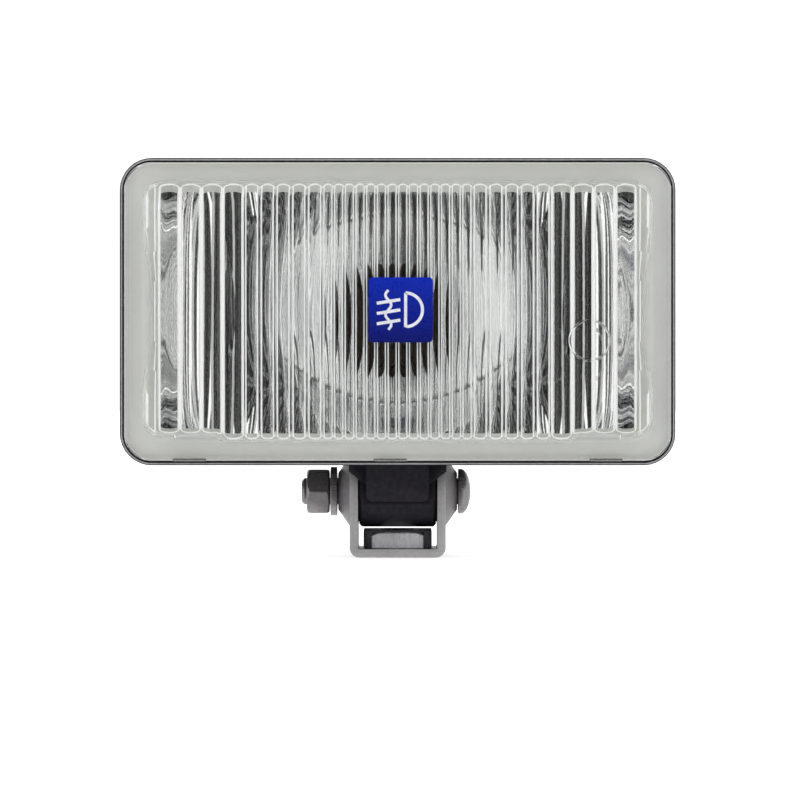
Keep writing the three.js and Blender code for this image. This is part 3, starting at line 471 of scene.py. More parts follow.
class Finishes:
    """Every finish of the lamp, each made once."""

    def __init__(self, badge_bottom: float, badge_top: float) -> None:
        """Makes the finishes.

        Args:
            badge_bottom: the height of the badge's lower edge.
            badge_top: the height of its upper edge.
        """
        self.bracket = Metal(
            "bracket_steel", (0.15, 0.143, 0.15), (0.235, 0.226, 0.235), 0.32, 0.5, metallic=0.4
        ).material()
        # The cut edges' own lighter tone, with painted highlight on the faces that look front and back.
        self.cut_edge_sheen = Metal(
            "bracket_cut_edge_sheen", (0.34, 0.33, 0.335), (0.51, 0.5, 0.505), 0.3, 0.48, metallic=0.4
        ).material()
        self.fastener = Metal(
            "plated_steel", (0.13, 0.122, 0.127), (0.25, 0.236, 0.243), 0.24, 0.4, metallic=0.7
        ).material()
        self.bright = Metal(
            "bright_steel",
            (0.3, 0.3, 0.31),
            (0.66, 0.66, 0.68),
            0.22,
            0.36,
            scratches=(1100.0, 1100.0, 50.0),
            metallic=0.3,
        ).material()
        self.spring = Metal("spring_steel", (0.3, 0.3, 0.31), (0.5, 0.5, 0.51), 0.2, 0.4).material()
        # Dark steel for the lens clips, lightened in part as a painted glint.
        self.clip = Metal(
            "lens_clip_steel_painted_glint", (0.16, 0.16, 0.165), (0.34, 0.34, 0.345), 0.3, 0.5, metallic=0.3
        ).material()
        self.brass = Metal("tinned_brass", (0.45, 0.32, 0.12), (0.62, 0.47, 0.2), 0.25, 0.4).material()
        self.tungsten = Metal("tungsten_wire", (0.15, 0.14, 0.13), (0.3, 0.28, 0.27), 0.3, 0.5).material()
        self.holder = Metal(
            "holder_steel", (0.05, 0.04, 0.035), (0.11, 0.09, 0.075), 0.3, 0.5
        ).material()
        self.plastic = Moulding(
            "black_plastic", (0.007, 0.006, 0.009), (0.013, 0.011, 0.016), 0.45, 0.62, gloss=0.08
        ).material()
        self.rubber = Moulding(
            "black_rubber", (0.006, 0.006, 0.007), (0.012, 0.012, 0.013), 0.6, 0.8, 900.0, gloss=0.25
        ).material()
        self.sleeve = Moulding(
            "glass_fibre_sleeve", (0.02, 0.018, 0.016), (0.05, 0.045, 0.04), 0.6, 0.8, 2600.0, 4e-5
        ).material()
        self.ceramic = Moulding(
            "ceramic", (0.5, 0.47, 0.4), (0.66, 0.63, 0.55), 0.5, 0.7, wear_and_highlight_colour=(0.7, 0.68, 0.62)
        ).material()
        self.glass = Glass("pressed_glass", (0.985, 0.99, 0.977), 0.0, 70.0, 2.5e-5).material()
        # Painted highlight: nearly opaque white glass that emits light, for the white lines on the flutes'
        # beads and the panel's outline.
        self.seam = Glass(
            "glass_seam_painted_highlight", (0.98, 0.99, 0.985), 0.25, 500.0, 4e-5, clear=0.05, painted_glow=0.22
        ).material()
        # Painted sheen: a pale grey, mostly opaque glass that emits a little light, on the flutes' rounded
        # ends and the plain margins.
        self.cap = Glass(
            "glass_cap_painted_sheen", (0.66, 0.69, 0.63), 0.25, 300.0, 4e-5, clear=0.25, painted_glow=0.05
        ).material()
        self.quartz = Glass("quartz_glass", (0.98, 0.985, 0.99), 0.0, 120.0, 1e-5, index=1.46).material()
        self.mirror = Mirror(
            "mirror_coating", (0.86, 0.87, 0.87), (0.93, 0.935, 0.93), 0.015, 0.05, 1.5e-5
        ).material()
        self.flange = Moulding(
            "flange_lacquer",
            (0.77, 0.775, 0.75),
            (0.84, 0.845, 0.82),
            0.3,
            0.45,
            grain=300.0,
            gloss=0.5,
            wear_and_highlight_colour=(0.9, 0.9, 0.88),
        ).material()
        self.badge = ShadedEnamel(
            "blue_enamel_painted_shade", (0.0, 0.014, 0.31), (0.001, 0.004, 0.11), badge_top, badge_bottom
        ).material()
        self.silver = Metal(
            "badge_silver", (0.4, 0.41, 0.46), (0.62, 0.63, 0.68), 0.25, 0.4, metallic=0.15
        ).material()
        # Painted highlight: light grey for the frame round the front of the housing's black lip.
        self.lip = Moulding(
            "lip_highlight_paint", (0.22, 0.22, 0.225), (0.36, 0.36, 0.37), 0.2, 0.35, wear_and_highlight_colour=(0.45, 0.45, 0.46)
        ).material()


# ------------------------------------------------------------------ mesh helpers
class Stock:
    """A piece in the making: one bmesh, and the operators that shape it."""

    def __init__(self) -> None:
        """Starts with nothing."""
        self.bm = bmesh.new()

    def slab(
        self,
        centre: tuple[float, float],
        size: tuple[float, float],
        radius: float,
        front: float,
        rear: float,
        segments: int,
    ) -> None:
        """Adds a slab with rounded corners that faces -Y.

        Args:
            centre: X and Z of its middle.
            size: its width and height.
            radius: the radius of its corners.
            front: Y of its front face.
            rear: Y of its rear face.
            segments: the segments in each corner.
        """
        placing = Matrix.Translation((centre[0], (front + rear) / 2, centre[1]))
        sizing = Matrix.Diagonal((size[0], rear - front, size[1], 1.0))
        made = bmesh.ops.create_cube(self.bm, size=1.0, matrix=placing @ sizing)
        edges = {edge for vert in made["verts"] for edge in vert.link_edges}
        upright = [e for e in edges if abs(e.verts[0].co.y - e.verts[1].co.y) > (rear - front) / 2]
        if radius > 0:
            bmesh.ops.bevel(
                self.bm,
                geom=upright,
                offset=radius,
                offset_type="OFFSET",
                segments=segments,
                profile=0.5,
                affect="EDGES",
                material=-1,
                clamp_overlap=True,
            )

    def box(self, low: Sequence[float], high: Sequence[float]) -> None:
        """Adds a block between two corners."""
        middle = (Vector(low) + Vector(high)) / 2
        size = Vector(high) - Vector(low)
        matrix = Matrix.Translation(middle) @ Matrix.Diagonal((*size, 1.0))
        bmesh.ops.create_cube(self.bm, size=1.0, matrix=matrix)

    def turn(
        self,
        profile: Sequence[Point],
        centre: Sequence[float],
        axis: Sequence[float],
        radial: Sequence[float],
        steps: int,
    ) -> None:
        """Spins a profile into a closed turned shape.

        Args:
            profile: radius and place along the axis of each point.
            centre: a point on the axis.
            axis: the axis.
            radial: the direction that the profile's radius runs in.
            steps: the steps of the spin.
        """
        along, out, middle = Vector(axis), Vector(radial), Vector(centre)
        verts = [self.bm.verts.new(middle + along * place + out * radius) for radius, place in profile]
        edges = [self.bm.edges.new(pair) for pair in zip(verts, verts[1:])]
        bmesh.ops.spin(
            self.bm, geom=verts + edges, cent=middle, axis=along, angle=math.tau, steps=steps, use_merge=True
        )
        bmesh.ops.remove_doubles(self.bm, verts=self.bm.verts, dist=MERGE)

    def face_towards(self, direction: Sequence[float]) -> bmesh.types.BMFace:
        """Finds the largest face that looks one way.

        Args:
            direction: where it looks.

        Returns:
            The face.
        """
        self.bm.normal_update()
        way = Vector(direction)
        facing = [face for face in self.bm.faces if face.normal.dot(way) > 0.9]
        return max(facing, key=lambda face: face.calc_area())

    def step(
        self, face: bmesh.types.BMFace, centre: Sequence[float], inset: float, travel: float
    ) -> bmesh.types.BMFace:
        """Extrudes a face that looks along Y, and draws its outline in all round.

        Args:
            face: the face.
            centre: the point that its outline shrinks towards.
            inset: how far each side comes in.
            travel: how far it moves along Y.

        Returns:
            The moved face.
        """
        made = bmesh.ops.extrude_face_region(self.bm, geom=[face])
        verts = [item for item in made["geom"] if isinstance(item, bmesh.types.BMVert)]
        half_x = max(abs(vert.co.x - centre[0]) for vert in verts)
        half_z = max(abs(vert.co.z - centre[2]) for vert in verts)
        for vert in verts:
            vert.co.x = centre[0] + (vert.co.x - centre[0]) * (1 - inset / half_x)
            vert.co.z = centre[2] + (vert.co.z - centre[2]) * (1 - inset / half_z)
            vert.co.y += travel
        moved = next(item for item in made["geom"] if isinstance(item, bmesh.types.BMFace))
        if face.is_valid:
            bmesh.ops.delete(self.bm, geom=[face], context="FACES_ONLY")
        return moved

    def smooth_edges(self, width: float) -> None:
        """Bevels every sharp edge.

        Args:
            width: the width of the bevels.
        """
        self.bm.normal_update()
        limit = math.radians(BEVEL_ANGLE)
        sharp = [e for e in self.bm.edges if len(e.link_faces) == 2 and e.calc_face_angle() > limit]
        bmesh.ops.bevel(
            self.bm,
            geom=sharp,
            offset=width,
            offset_type="OFFSET",
            segments=2,
            profile=0.5,
            affect="EDGES",
            material=-1,
            clamp_overlap=True,
        )

    def mesh(self, name: str, outwards: bool = True, shade_angle: float = 32.0) -> bpy.types.Object:
        """Turns the bmesh into an object at the origin.

        Args:
            name: the object's name.
            outwards: whether to work the normals out again.
            shade_angle: edges sharper than this, in degrees, stay sharp.

        Returns:
            The object.
        """
        bmesh.ops.remove_doubles(self.bm, verts=self.bm.verts, dist=MERGE)
        if outwards:
            bmesh.ops.recalc_face_normals(self.bm, faces=self.bm.faces)
        data = bpy.data.meshes.new(name)
        self.bm.to_mesh(data)
        self.bm.free()
        data.polygons.foreach_set("use_smooth", [True] * len(data.polygons))
        data.set_sharp_from_angle(angle=math.radians(shade_angle))
        made = bpy.data.objects.new(name, data)
        bpy.context.scene.collection.objects.link(made)
        return made


def settle(
    piece: bpy.types.Object,
    body: Body,
    materials: Iterable[bpy.types.Material],
    node: str | None = None,
) -> None:
    """Dresses a piece and ties it to the frame.

    Args:
        piece: the piece.
        body: the body that it moves with.
        materials: its materials.
        node: the CAD node that it replaces, or None for a piece that the CAD doesn't have.
    """
    for material in materials:
        piece.data.materials.append(material)
    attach(piece, body.value)
    if node is not None:
        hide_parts(node)
    LOG.info("%s: %d faces", piece.name, len(piece.data.polygons))


def carve(target: bpy.types.Object, tool: bpy.types.Object, operation: str) -> bpy.types.Object:
    """Joins or cuts one solid with another, and keeps the result alone.

    Args:
        target: the solid that stays.
        tool: the other solid, which is used up.
        operation: DIFFERENCE, INTERSECT or UNION.

    Returns:
        The target.
    """
    modifier = target.modifiers.new("carve", "BOOLEAN")
    modifier.operation = operation
    modifier.solver = "EXACT"
    modifier.object = tool
    graph = bpy.context.evaluated_depsgraph_get()
    graph.update()
    result = bpy.data.meshes.new_from_object(target.evaluated_get(graph))
    target.modifiers.remove(modifier)
    old = target.data
    target.data = result
    bpy.data.meshes.remove(old)
    bpy.data.objects.remove(tool)
    return target


def refined(node: str, name: str, width: float, shade_angle: float = 40.0) -> bpy.types.Object:
    """Makes a smooth-edged piece from a CAD node's solid.

    Args:
        node: the CAD node.
        name: the new piece's name.
        width: the width of its bevels, or 0 for none.
        shade_angle: edges sharper than this, in degrees, stay sharp.

    Returns:
        The piece.
    """
    stock = Stock()
    stock.bm.from_mesh(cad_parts[node].data)
    bmesh.ops.remove_doubles(stock.bm, verts=stock.bm.verts, dist=CAD_MERGE)
    bmesh.ops.dissolve_limit(
        stock.bm, angle_limit=math.radians(1.0), verts=stock.bm.verts, edges=stock.bm.edges
    )
    if width > 0:
        stock.smooth_edges(width)
    return stock.mesh(name, outwards=False, shade_angle=shade_angle)


# ------------------------------------------------------------------ lens
@dataclass
class LensUnit:
    """The pressed glass with its flutes, the badge on it and the gasket round it."""

    finishes: Finishes
    zones: tuple[tuple[int, float], ...] = ((4, 6.24), (5, 4.6), (14, 3.12), (5, 4.6), (4, 6.24))
    panel_width: float = 146.6 * MM
    panel_height: float = 74 * MM
    panel_corner: float = 4 * MM
    corner: float = 8 * MM
    edge_front: float = 3.6 * MM
    edge_rear: float = 4.6 * MM
    overhang: float = 0.6 * MM
    slot_floor: float = 5.2 * MM
    hook_cut: float = 1.1 * MM
    plate_rear: float = 3.4 * MM
    face_back: float = 0.9 * MM
    bow: float = 0.11
    bead: float = 0.115
    # Painted highlight: the share of a wide flute, from each edge, that gets the white glass.
    seam: float = 0.085
    # Painted highlight: the band across a narrow flute, from each edge, that gets the white glass.
    pair: tuple[float, float] = (0.085, 0.17)
    wide: float = 5 * MM
    bead_rise: float = 0.075
    shares: tuple[float, ...] = (0.0, 0.03, 0.06, 0.085, 0.1, 0.115, 0.17, 0.24, 0.32, 0.41, 0.5)
    flattening: float = 0.8
    arch_power: float = 2.4
    arch_share: float = 0.3
    arch_limit: float = 1.3 * MM
    outline: float = 0.3 * MM
    # Painted highlight: the white lines along the panel's sides.
    side_highlight_outline: float = 0.6 * MM
    side_highlight_line: tuple[float, float] = (2.3 * MM, 2.7 * MM)
    end_rise: tuple[float, float, float] = (50 * MM, 3 * MM, 1.6 * MM)
    notch_reach: float = 3.3 * MM
    notch_half: float = 18.8 * MM
    notch_slope: float = 5.5 * MM
    notch_depth: float = 1.9 * MM
    flare: tuple[float, float] = (1.012, 1.024)
    border_steps: tuple[tuple[float, float], ...] = (
        (0.12, 0.3),
        (0.25, 0.35),
        (0.45, 0.38),
        (0.8, 0.34),
        (1.2, 0.24),
        (2.3, 0.2),
        (0.45, 0.2),
        (0.45, 0.3),
        (0.4, 0.2),
        (0.3, 0.06),
    )
    cap: tuple[float, float] = (2.2 * MM, 1.3 * MM)
    end_steps: int = 6
    ring_radius: float = 5.85 * MM
    ring_place: tuple[float, float] = (56.1 * MM, -8.5 * MM)
    sign_scale: float = 1.2
    clips: tuple[str, ...] = ("lens_clip_left", "lens_clip_centre", "lens_clip_right")
    centre: Vector = field(init=False)
    size: tuple[float, float] = field(init=False)
    front: float = field(init=False)
    rear: float = field(init=False)

    def __post_init__(self) -> None:
        """Takes the glass's size and place from the frame."""
        low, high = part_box("lens")
        self.centre = (low + high) / 2
        self.size = (high.x - low.x, high.z - low.z)
        self.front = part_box("badge")[0].y
        self.rear = high.y

    def stations(self) -> list[tuple[float, float, float]]:
        """Lists the columns of the fluted sheet.

        Returns:
            For each column its X from the middle, its flute's width, and its place across the flute
            from 0 to 1, which is below 0 outside the flutes.
        """
        end = self.flutes_width() / 2
        margin = self.panel_width / 2 - end
        inwards = (0.0, 0.15, 0.35, 0.6, 0.9, 1.3, 1.8, 2.3, 2.7, 3.2)
        plain = [(-end - margin + step * MM, self.zones[0][1] * MM, -1.0) for step in inwards]
        columns = list(plain)
        x = -end
        there = [*self.shares, *(1 - share for share in self.shares[-2:0:-1])]
        for count, width in self.zones:
            across = width * MM
            for _ in range(count):
                columns.extend((x + share * across, across, share) for share in there)
                x += across
        columns.append((x, self.zones[-1][1] * MM, 0.0))
        columns.extend((-place, width, share) for place, width, share in reversed(plain))
        return columns

    def flutes_width(self) -> float:
        """The width of all the flutes together."""
        return sum(count * width for count, width in self.zones) * MM

    def rise(self, width: float, share: float) -> float:
        """The height of a flute's section: a round bead at each edge and a low arch between them.

        Args:
            width: the flute's width.
            share: the place across it, from 0 to 1.

        Returns:
            The height.
        """
        if share < 0:
            return 0.0
        from_edge = min(share, 1 - share)
        if from_edge < self.bead:
            return width * self.bead_rise * math.sqrt(1 - (from_edge / self.bead) ** 2)
        turn = (share - 0.5) / (0.5 - self.bead)
        flatter = (width / (self.zones[0][1] * MM)) ** self.flattening
        return width * self.bow * flatter * (1 - turn * turn)

    def arch(self, width: float, share: float) -> float:
        """How far a flute's rounded end draws back from the panel's edge.

        Args:
            width: the flute's width.
            share: the place across it.

        Returns:
            The distance.
        """
        if share < 0:
            return 0.0
        turn = abs(2 * share - 1) ** self.arch_power
        return (1 - math.sqrt(max(0.0, 1 - turn))) * min(width * self.arch_share, self.arch_limit)

    def finish_at(self, x: float, z: float) -> int:
        """Tells which finish a place on the fluted sheet has.

        Args:
            x: the distance to the right of the middle.
            z: the distance above it.

        Returns:
            0 for clear glass, 1 for a painted white highlight on a bead or an outline, 2 for a painted pale
            sheen on a rounded end.
        """
        side = 1 if z > 0 else -1
        place = x + self.flutes_width() / 2
        width, share = 1.0, -1.0
        for count, relative in self.zones:
            across = relative * MM
            if 0 <= place < count * across:
                width, share = across, (place / across) % 1.0
                break
            place -= count * across
        depth = self.panel_reach(x, side) - abs(z) - self.arch(width, share)
        if share < 0:
            from_side = self.panel_width / 2 - abs(x)
            line = from_side < self.side_highlight_outline or self.side_highlight_line[0] < from_side < self.side_highlight_line[1]
            return 1 if line or depth < self.outline else 2
        if depth < self.outline:
            return 2 if depth < 0 else 1
        from_seam = min(share, 1 - share)
        # Painted highlight: a white band at each edge of a wide flute, a pair of bands in a narrow one.
        if (from_seam < self.seam) if width > self.wide else (self.pair[0] < from_seam < self.pair[1]):
            return 1
        # Painted sheen on the rounded ends.
        return 2 if depth < self.cap[0 if side > 0 else 1] else 0

    def panel_reach(self, x: float, side: int) -> float:
        """How far the panel reaches up or down at a place.

        Args:
            x: the distance from the middle.
            side: 1 for the upper edge and -1 for the lower.

        Returns:
            The distance from the middle to the panel's edge.
        """
        reach = self.panel_height / 2
        over = abs(x) - (self.panel_width / 2 - self.panel_corner)
        if over > 0:
            inside = max(0.0, self.panel_corner**2 - over**2)
            reach -= self.panel_corner - math.sqrt(inside)
        if side < 0:
            start, run, rise = self.end_rise
            reach -= rise * min(1.0, max(0.0, (abs(x) - start) / run))
        return reach

    def side_inset(self, x: float, z: float) -> float:
        """How far the panel's side comes in at a place beside the middle of its height.

        Args:
            x: the distance to the right of the middle.
            z: the distance above it.

        Returns:
            The shift along X.
        """
        beyond = (abs(x) - self.panel_width / 2 + self.notch_reach) / self.notch_reach
        if beyond <= 0:
            return 0.0
        level = min(1.0, max(0.0, (self.notch_half - abs(z)) / self.notch_slope))
        return -math.copysign(self.notch_depth * level * beyond, x)

    def pocket(self) -> bpy.types.Object:
        """The space behind the fluted face, as a solid.

        Returns:
            The solid that is cut out of the glass.
        """
        columns = self.stations()
        stock = Stock()
        rows = 2 * (self.end_steps + 1) + 6
        bmesh.ops.create_grid(stock.bm, x_segments=len(columns) - 1, y_segments=rows - 1, size=1.0)
        reach = max(vert.co.x for vert in stock.bm.verts)
        plate = self.front + self.plate_rear
        for vert in stock.bm.verts:
            column = round((vert.co.x / reach + 1) / 2 * (len(columns) - 1))
            row = round((vert.co.y / reach + 1) / 2 * (rows - 1))
            vert.co = self.flute_point(columns[column], row, rows, plate)
        outline = [edge for edge in stock.bm.edges if edge.is_boundary]
        made = bmesh.ops.extrude_edge_only(stock.bm, edges=outline)
        walls = [item for item in made["geom"] if isinstance(item, bmesh.types.BMVert)]
        for vert in walls:
            vert.co.x = self.centre.x + (vert.co.x - self.centre.x) * self.flare[0]
            vert.co.z = self.centre.z + (vert.co.z - self.centre.z) * self.flare[1]
            vert.co.y = self.rear + 1 * MM
        rim = [item for item in made["geom"] if isinstance(item, bmesh.types.BMEdge)]
        bmesh.ops.edgeloop_fill(stock.bm, edges=rim)
        return stock.mesh("lens_pocket")

    def flute_point(
        self, column: tuple[float, float, float], row: int, rows: int, plate: float
    ) -> Vector:
        """Places one point of the fluted sheet.

        Args:
            column: the column's X, its flute's width and its place across the flute.
            row: the row, from the lower edge.
            rows: how many rows there are.
            plate: Y of the glass between the flutes.

        Returns:
            The point.
        """
        x, width, share = column
        side = -1 if row < rows / 2 else 1
        from_edge = row if side < 0 else rows - 1 - row
        edge = self.panel_reach(x, side)
        start = edge - self.arch(width, share)
        cap = self.cap[0 if side > 0 else 1]
        if from_edge == 0:
            z, fade = edge, 0.0
        elif from_edge <= 2:
            z, fade = start - (from_edge - 1) * self.outline, 0.0
        elif from_edge <= self.end_steps:
            turn = (from_edge - 2) / (self.end_steps - 2)
            z = start - self.outline - turn * (cap - self.outline)
            fade = math.sin(turn * math.pi / 2)
        else:
            left = (from_edge - self.end_steps) / (rows / 2 - self.end_steps)
            z, fade = (start - cap) * (1 - left * 0.98), 1.0
        place = side * z
        shift = self.side_inset(x, place)
        deep = self.rise(width, share) * fade
        return Vector((self.centre.x + x + shift, plate + deep, self.centre.z + place))

    def glass(self) -> bpy.types.Object:
        """The glass: a rounded slab with a raised border and face, cut out behind.

        Returns:
            The glass.
        """
        stock = Stock()
        edge = self.front + self.edge_front
        ledge = self.front + self.edge_rear
        stock.slab((self.centre.x, self.centre.z), self.size, self.corner, edge, ledge, 12)
        foot = stock.step(stock.face_towards((0, 1, 0)), self.centre, self.overhang, 0.0)
        stock.step(foot, self.centre, 0.0, self.rear - ledge)
        face = stock.face_towards((0, -1, 0))
        for inset, travel in self.border_steps:
            face = stock.step(face, self.centre, inset * MM, -travel * MM)
        sink = self.front + self.face_back - max(vert.co.y for vert in face.verts)
        for vert in face.verts:
            vert.co.y += sink
        glass = stock.mesh("fog_lens", shade_angle=25.0)
        for node in self.clips:
            glass = carve(glass, self.slot(node), "DIFFERENCE")
        pressed = carve(glass, self.pocket(), "DIFFERENCE")
        plate = self.front + self.plate_rear
        sheet = (plate - 0.2 * MM, plate + 1.2 * MM)
        half = (self.panel_width / 2 + 0.1 * MM, self.panel_height / 2 + 0.1 * MM)
        for face in pressed.data.polygons:
            at = face.center - self.centre
            inside = abs(at.x) < half[0] and abs(at.z) < half[1]
            fluted = inside and sheet[0] < face.center.y < sheet[1]
            face.material_index = self.finish_at(at.x, at.z) if fluted else 0
        pressed.data.set_sharp_from_angle(angle=math.radians(38.0))
        return pressed

    def slot(self, node: str) -> bpy.types.Object:
        """The space that a clip takes from the edge of the glass.

        Args:
            node: the clip's node.

        Returns:
            The space as a solid.
        """
        low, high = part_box(node)
        clear = 0.2 * MM
        stock = Stock()
        bottom = self.centre.z - self.size[1] / 2 - 1 * MM
        floor = self.front + self.slot_floor
        top = high.z - self.hook_cut + clear
        stock.box((low.x - clear, low.y - clear, bottom), (high.x + clear, floor, top))
        return stock.mesh("slot")

    def mark(self) -> bpy.types.Object:
        """A plain raised ring in the pressed face, to the right of the badge.

        Returns:
            The ring.
        """
        face = self.front + self.face_back
        section = ((-0.35, 0.03), (-0.22, 0.16), (0.0, 0.2), (0.22, 0.16), (0.35, 0.03), (-0.35, 0.03))
        profile = [(self.ring_radius + across * MM, rise * MM) for across, rise in section]
        stock = Stock()
        centre = (self.centre.x + self.ring_place[0], face, self.centre.z + self.ring_place[1])
        stock.turn(profile, centre, (0, -1, 0), (1, 0, 0), 72)
        return stock.mesh("lens_mark", shade_angle=60.0)

    def clip(self, node: str) -> bpy.types.Object:
        """A clip whose hook only just holds the edge of the glass.

        Args:
            node: the clip's node.

        Returns:
            The clip.
        """
        clip = refined(node, f"{node}_finished", 0.1 * MM)
        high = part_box(node)[1]
        for vert in clip.data.vertices:
            if vert.co.z > high.z - self.hook_cut:
                vert.co.z -= self.hook_cut
        return clip

    def badge(self) -> bpy.types.Object:
        """The blue plate in the middle of the glass.

        Returns:
            The plate.
        """
        low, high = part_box("badge")
        stock = Stock()
        middle = (low + high) / 2
        size = (high.x - low.x, high.z - low.z)
        stock.slab((middle.x, middle.z), size, 1.2 * MM, low.y + 0.1 * MM, high.y, 8)
        face = stock.face_towards((0, -1, 0))
        face = stock.step(face, middle, 0.12 * MM, -0.06 * MM)
        stock.step(face, middle, 0.2 * MM, -0.02 * MM)
        return stock.mesh("lens_badge")

    def emblem(self) -> bpy.types.Object:
        """A plain sign for a front fog lamp: a round-backed lamp and three beams crossed by a wave.

        Returns:
            The sign, raised on the badge.
        """
        low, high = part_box("badge")
        middle = (low + high) / 2
        rear = low.y + 0.06 * MM
        front = low.y - 0.02 * MM
        stock = Stock()
        unit = self.sign_scale * MM
        line = 0.75 * unit
        lamp_x = middle.x + 1.2 * unit
        radius = 4.1 * unit
        arc = [
            (lamp_x + radius * math.sin(math.pi * i / 24), middle.z + radius * math.cos(math.pi * i / 24))
            for i in range(25)
        ]
        self.ribbon(stock, [*arc, arc[0]], line, front, rear)
        for level in (-1, 0, 1):
            z = middle.z + level * 2.5 * unit
            start, stop = lamp_x - 1.3 * unit, lamp_x - 7.0 * unit
            self.ribbon(stock, [(start, z), (stop, z - 0.9 * unit)], line, front, rear)
        wave_x = lamp_x - 4.2 * unit
        wave = [
            (wave_x + 0.7 * unit * math.sin(math.tau * i / 16), middle.z + (i - 16) * 0.3 * unit)
            for i in range(33)
        ]
        self.ribbon(stock, wave, line * 0.85, front - 0.01 * MM, rear)
        return stock.mesh("badge_sign", shade_angle=50.0)

    @staticmethod
    def ribbon(stock: Stock, points: Sequence[Point], width: float, front: float, rear: float) -> None:
        """Adds a flat raised line through points in X and Z.

        Args:
            stock: where to add it.
            points: the line's points.
            width: the line's width.
            front: Y of its face.
            rear: Y of its back.
        """
        rails: list[list[bmesh.types.BMVert]] = [[], []]
        for index, point in enumerate(points):
            before = Vector(points[max(0, index - 1)])
            after = Vector(points[min(len(points) - 1, index + 1)])
            way = (after - before).normalized()
            out = Vector((-way.y, way.x)) * width / 2
            for rail, sign in zip(rails, (1, -1)):
                rail.append(stock.bm.verts.new((point[0] + sign * out.x, rear, point[1] + sign * out.y)))
        faces = [
            stock.bm.faces.new((rails[0][i], rails[0][i + 1], rails[1][i + 1], rails[1][i]))
            for i in range(len(points) - 1)
        ]
        made = bmesh.ops.extrude_face_region(stock.bm, geom=faces, use_keep_orig=True)
        for item in made["geom"]:
            if isinstance(item, bmesh.types.BMVert):
                item.co.y = front

    def build(self) -> None:
        """Builds and dresses the glass, the badge and the gasket."""
        done = self.finishes
        settle(self.glass(), Body.OPTIC, [done.glass, done.seam, done.cap], "lens")
        settle(self.mark(), Body.OPTIC, [done.glass])
        settle(self.badge(), Body.OPTIC, [done.badge], "badge")
        settle(self.emblem(), Body.OPTIC, [done.silver])
        gasket = refined("lens_gasket", "rubber_gasket", 0.15 * MM)
        settle(gasket, Body.OPTIC, [done.rubber], "lens_gasket")
        for node in self.clips:
            settle(self.clip(node), Body.OPTIC, [done.clip], node)


